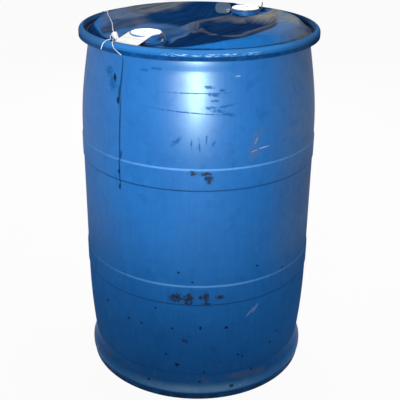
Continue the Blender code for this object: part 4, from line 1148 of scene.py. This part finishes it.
rear_shape = bmesh.new()
outline = [(-REAR_TAG_HALF, 0.0), (REAR_TAG_HALF, 0.0), (REAR_TAG_HALF, REAR_TAG_LENGTH),
           (-REAR_TAG_HALF, REAR_TAG_LENGTH)]
outline = eased(outline, REAR_TAG_CORNER, count=10, closed=True)
rear_verts = [rear_shape.verts.new((a, b, REAR_TAG_THICK / 2.0)) for a, b in outline]
rear_edges = joined(rear_shape, rear_verts)
eyelet_middle = Vector((REAR_TAG_HALF - EYELET_INSET, EYELET_INSET, 0.0))
hole_place = Matrix.Translation(eyelet_middle + Vector((0.0, 0.0, REAR_TAG_THICK / 2.0)))
hole = bmesh.ops.create_circle(rear_shape, cap_ends=False, radius=EYELET_HOLE_R, segments=32,
                               matrix=hole_place)
rear_edges += list({edge for vert in hole["verts"] for edge in vert.link_edges})
bmesh.ops.triangle_fill(rear_shape, edges=rear_edges, use_beauty=True)
outward(rear_shape)
if rear_shape.faces[:][0].normal.z < 0.0:
    bmesh.ops.reverse_faces(rear_shape, faces=rear_shape.faces)
bmesh.ops.solidify(rear_shape, geom=rear_shape.faces[:], thickness=REAR_TAG_THICK)
bmesh.ops.transform(rear_shape, matrix=rear_place, verts=rear_shape.verts)

rear_finish, rear_at = new_finish("blue_grey_tag_plastic")
rear_dust = step(noise(rear_at, 95.0, 4.0, 0.6), 0.42, 0.72)
rear_grain = noise(rear_at, 1400.0, 2.0)
set_shader(rear_at, {
    "Base Color": blend(rear_dust * 0.5, (0.06, 0.105, 0.175), (0.13, 0.165, 0.2)),
    "Roughness": 0.5 + 0.25 * rear_dust,
    "Specular IOR Level": 0.1,
    "Normal": bump(rear_grain, 0.0002, 0.3)})
add_piece("rear_blank_tag", rear_shape, rear_finish, "rear_tag")

eyelet_half = [(EYELET_IN_R, EYELET_TOP), (EYELET_LIP_R, EYELET_TOP), (EYELET_LIP_R, EYELET_UNDER),
               (EYELET_STEM_R, EYELET_UNDER)]
eyelet_skin = eyelet_half + [(radius, -rise) for radius, rise in reversed(eyelet_half)]
eyelet_shape = turned_ring(eased(eyelet_skin, reach=0.0004, closed=True), steps=40)
bmesh.ops.transform(eyelet_shape, matrix=rear_place @ Matrix.Translation(eyelet_middle),
                    verts=eyelet_shape.verts)
eyelet_finish, eyelet_at = new_finish("pale_eyelet_metal")
eyelet_wear = noise(eyelet_at, 800.0, 3.0)
set_shader(eyelet_at, {
    "Base Color": blend(eyelet_wear, (0.17, 0.15, 0.13), (0.34, 0.31, 0.27)),
    "Metallic": 0.7,
    "Roughness": 0.3 + 0.25 * eyelet_wear,
    "Normal": bump(eyelet_wear, 0.0001, 0.3)})
add_piece("tag_eyelet", eyelet_shape, eyelet_finish, "rear_tag_eyelet")

# Studio: a plain pale floor and white surroundings. The key lamp near the camera falls off towards
# the floor, a bluish lamp beside it only gleams on the barrel, and weak soft lamps light the rest.
def seen_rays(light):
    """1 for what is seen directly, in a gloss or through a clear piece, and 0 for other light."""
    rays = light.node("LightPath", {}, "Is Camera Ray")
    return rays | rays.other("Is Glossy Ray") | rays.other("Is Transmission Ray")


floor_shape = bmesh.new()
bmesh.ops.create_grid(floor_shape, x_segments=1, y_segments=1, size=60.0)
bmesh.ops.translate(floor_shape, vec=(0.0, 0.0, -0.0002), verts=floor_shape.verts)
floor_mesh = bpy.data.meshes.new("pale_floor")
floor_shape.to_mesh(floor_mesh)
floor_shape.free()
floor = placed("pale_floor", floor_mesh)

floor_finish = bpy.data.materials.new("pale_floor_paint")
floor_finish.use_nodes = True
floor_nodes = floor_finish.node_tree.nodes
floor_matt = Signal(floor_finish.node_tree, floor_nodes["Principled BSDF"].outputs[0])
set_shader(floor_matt, {"Base Color": (0.82, 0.82, 0.82, 1.0), "Roughness": 0.9})
floor_glow = floor_matt.node("Emission", {"Color": (1.0, 1.0, 1.0, 1.0), "Strength": 1.0})
floor_mix = floor_matt.node("MixShader", {0: seen_rays(floor_matt) * 0.95, 1: floor_matt, 2: floor_glow})
floor_matt.feed(floor_nodes["Material Output"], {"Surface": floor_mix})
floor_mesh.materials.append(floor_finish)

world = bpy.data.worlds.new("white_studio")
bpy.context.scene.world = world
world.use_nodes = True
backdrop = world.node_tree.nodes["Background"]
sky = Signal(world.node_tree, backdrop.outputs[0])
sky.feed(backdrop, {"Color": (1.0, 1.0, 1.0, 1.0), "Strength": 0.11 + 0.89 * seen_rays(sky)})


def lamp(name, kind, place, aim_z, **settings):
    """A lamp that is turned to a height on the drum's axis, out of the camera's sight."""
    data = bpy.data.lights.new(name, kind)
    for setting, value in settings.items():
        setattr(data, setting, value)
    made = placed(name, data)
    look = (Vector((0.0, 0.0, aim_z)) - Vector(place)).to_track_quat("-Z", "Y").to_matrix().to_4x4()
    made.matrix_world = Matrix.Translation(place) @ look
    made.visible_camera = False
    return made


lamp("key_lamp", "SPOT", on_view_side(-14.0, 2.2, 1.22), 0.83, energy=175.0, shadow_soft_size=0.15,
     spot_size=radians(42.0), spot_blend=1.0)
gleam = lamp("gleam_lamp", "POINT", on_view_side(-1.5, 2.2, 0.92), 0.78, energy=900.0,
             color=(0.66, 0.95, 1.0), shadow_soft_size=0.2)
gleam.visible_diffuse = False
for name, energy, size, place in (
        ("top_lamp", 22.0, 1.4, (0.0, 0.4, 2.6)), ("back_lamp", 30.0, 1.2, (-1.7, 2.0, 1.5)),
        ("left_lamp", 2.2, 1.0, (-2.3, -0.9, 1.2)), ("right_lamp", 1.5, 1.0, (2.0, 1.3, 1.2))):
    lamp(name, "AREA", place, 0.5, energy=energy, size=size)

bpy.context.scene.view_settings.view_transform = "Standard"
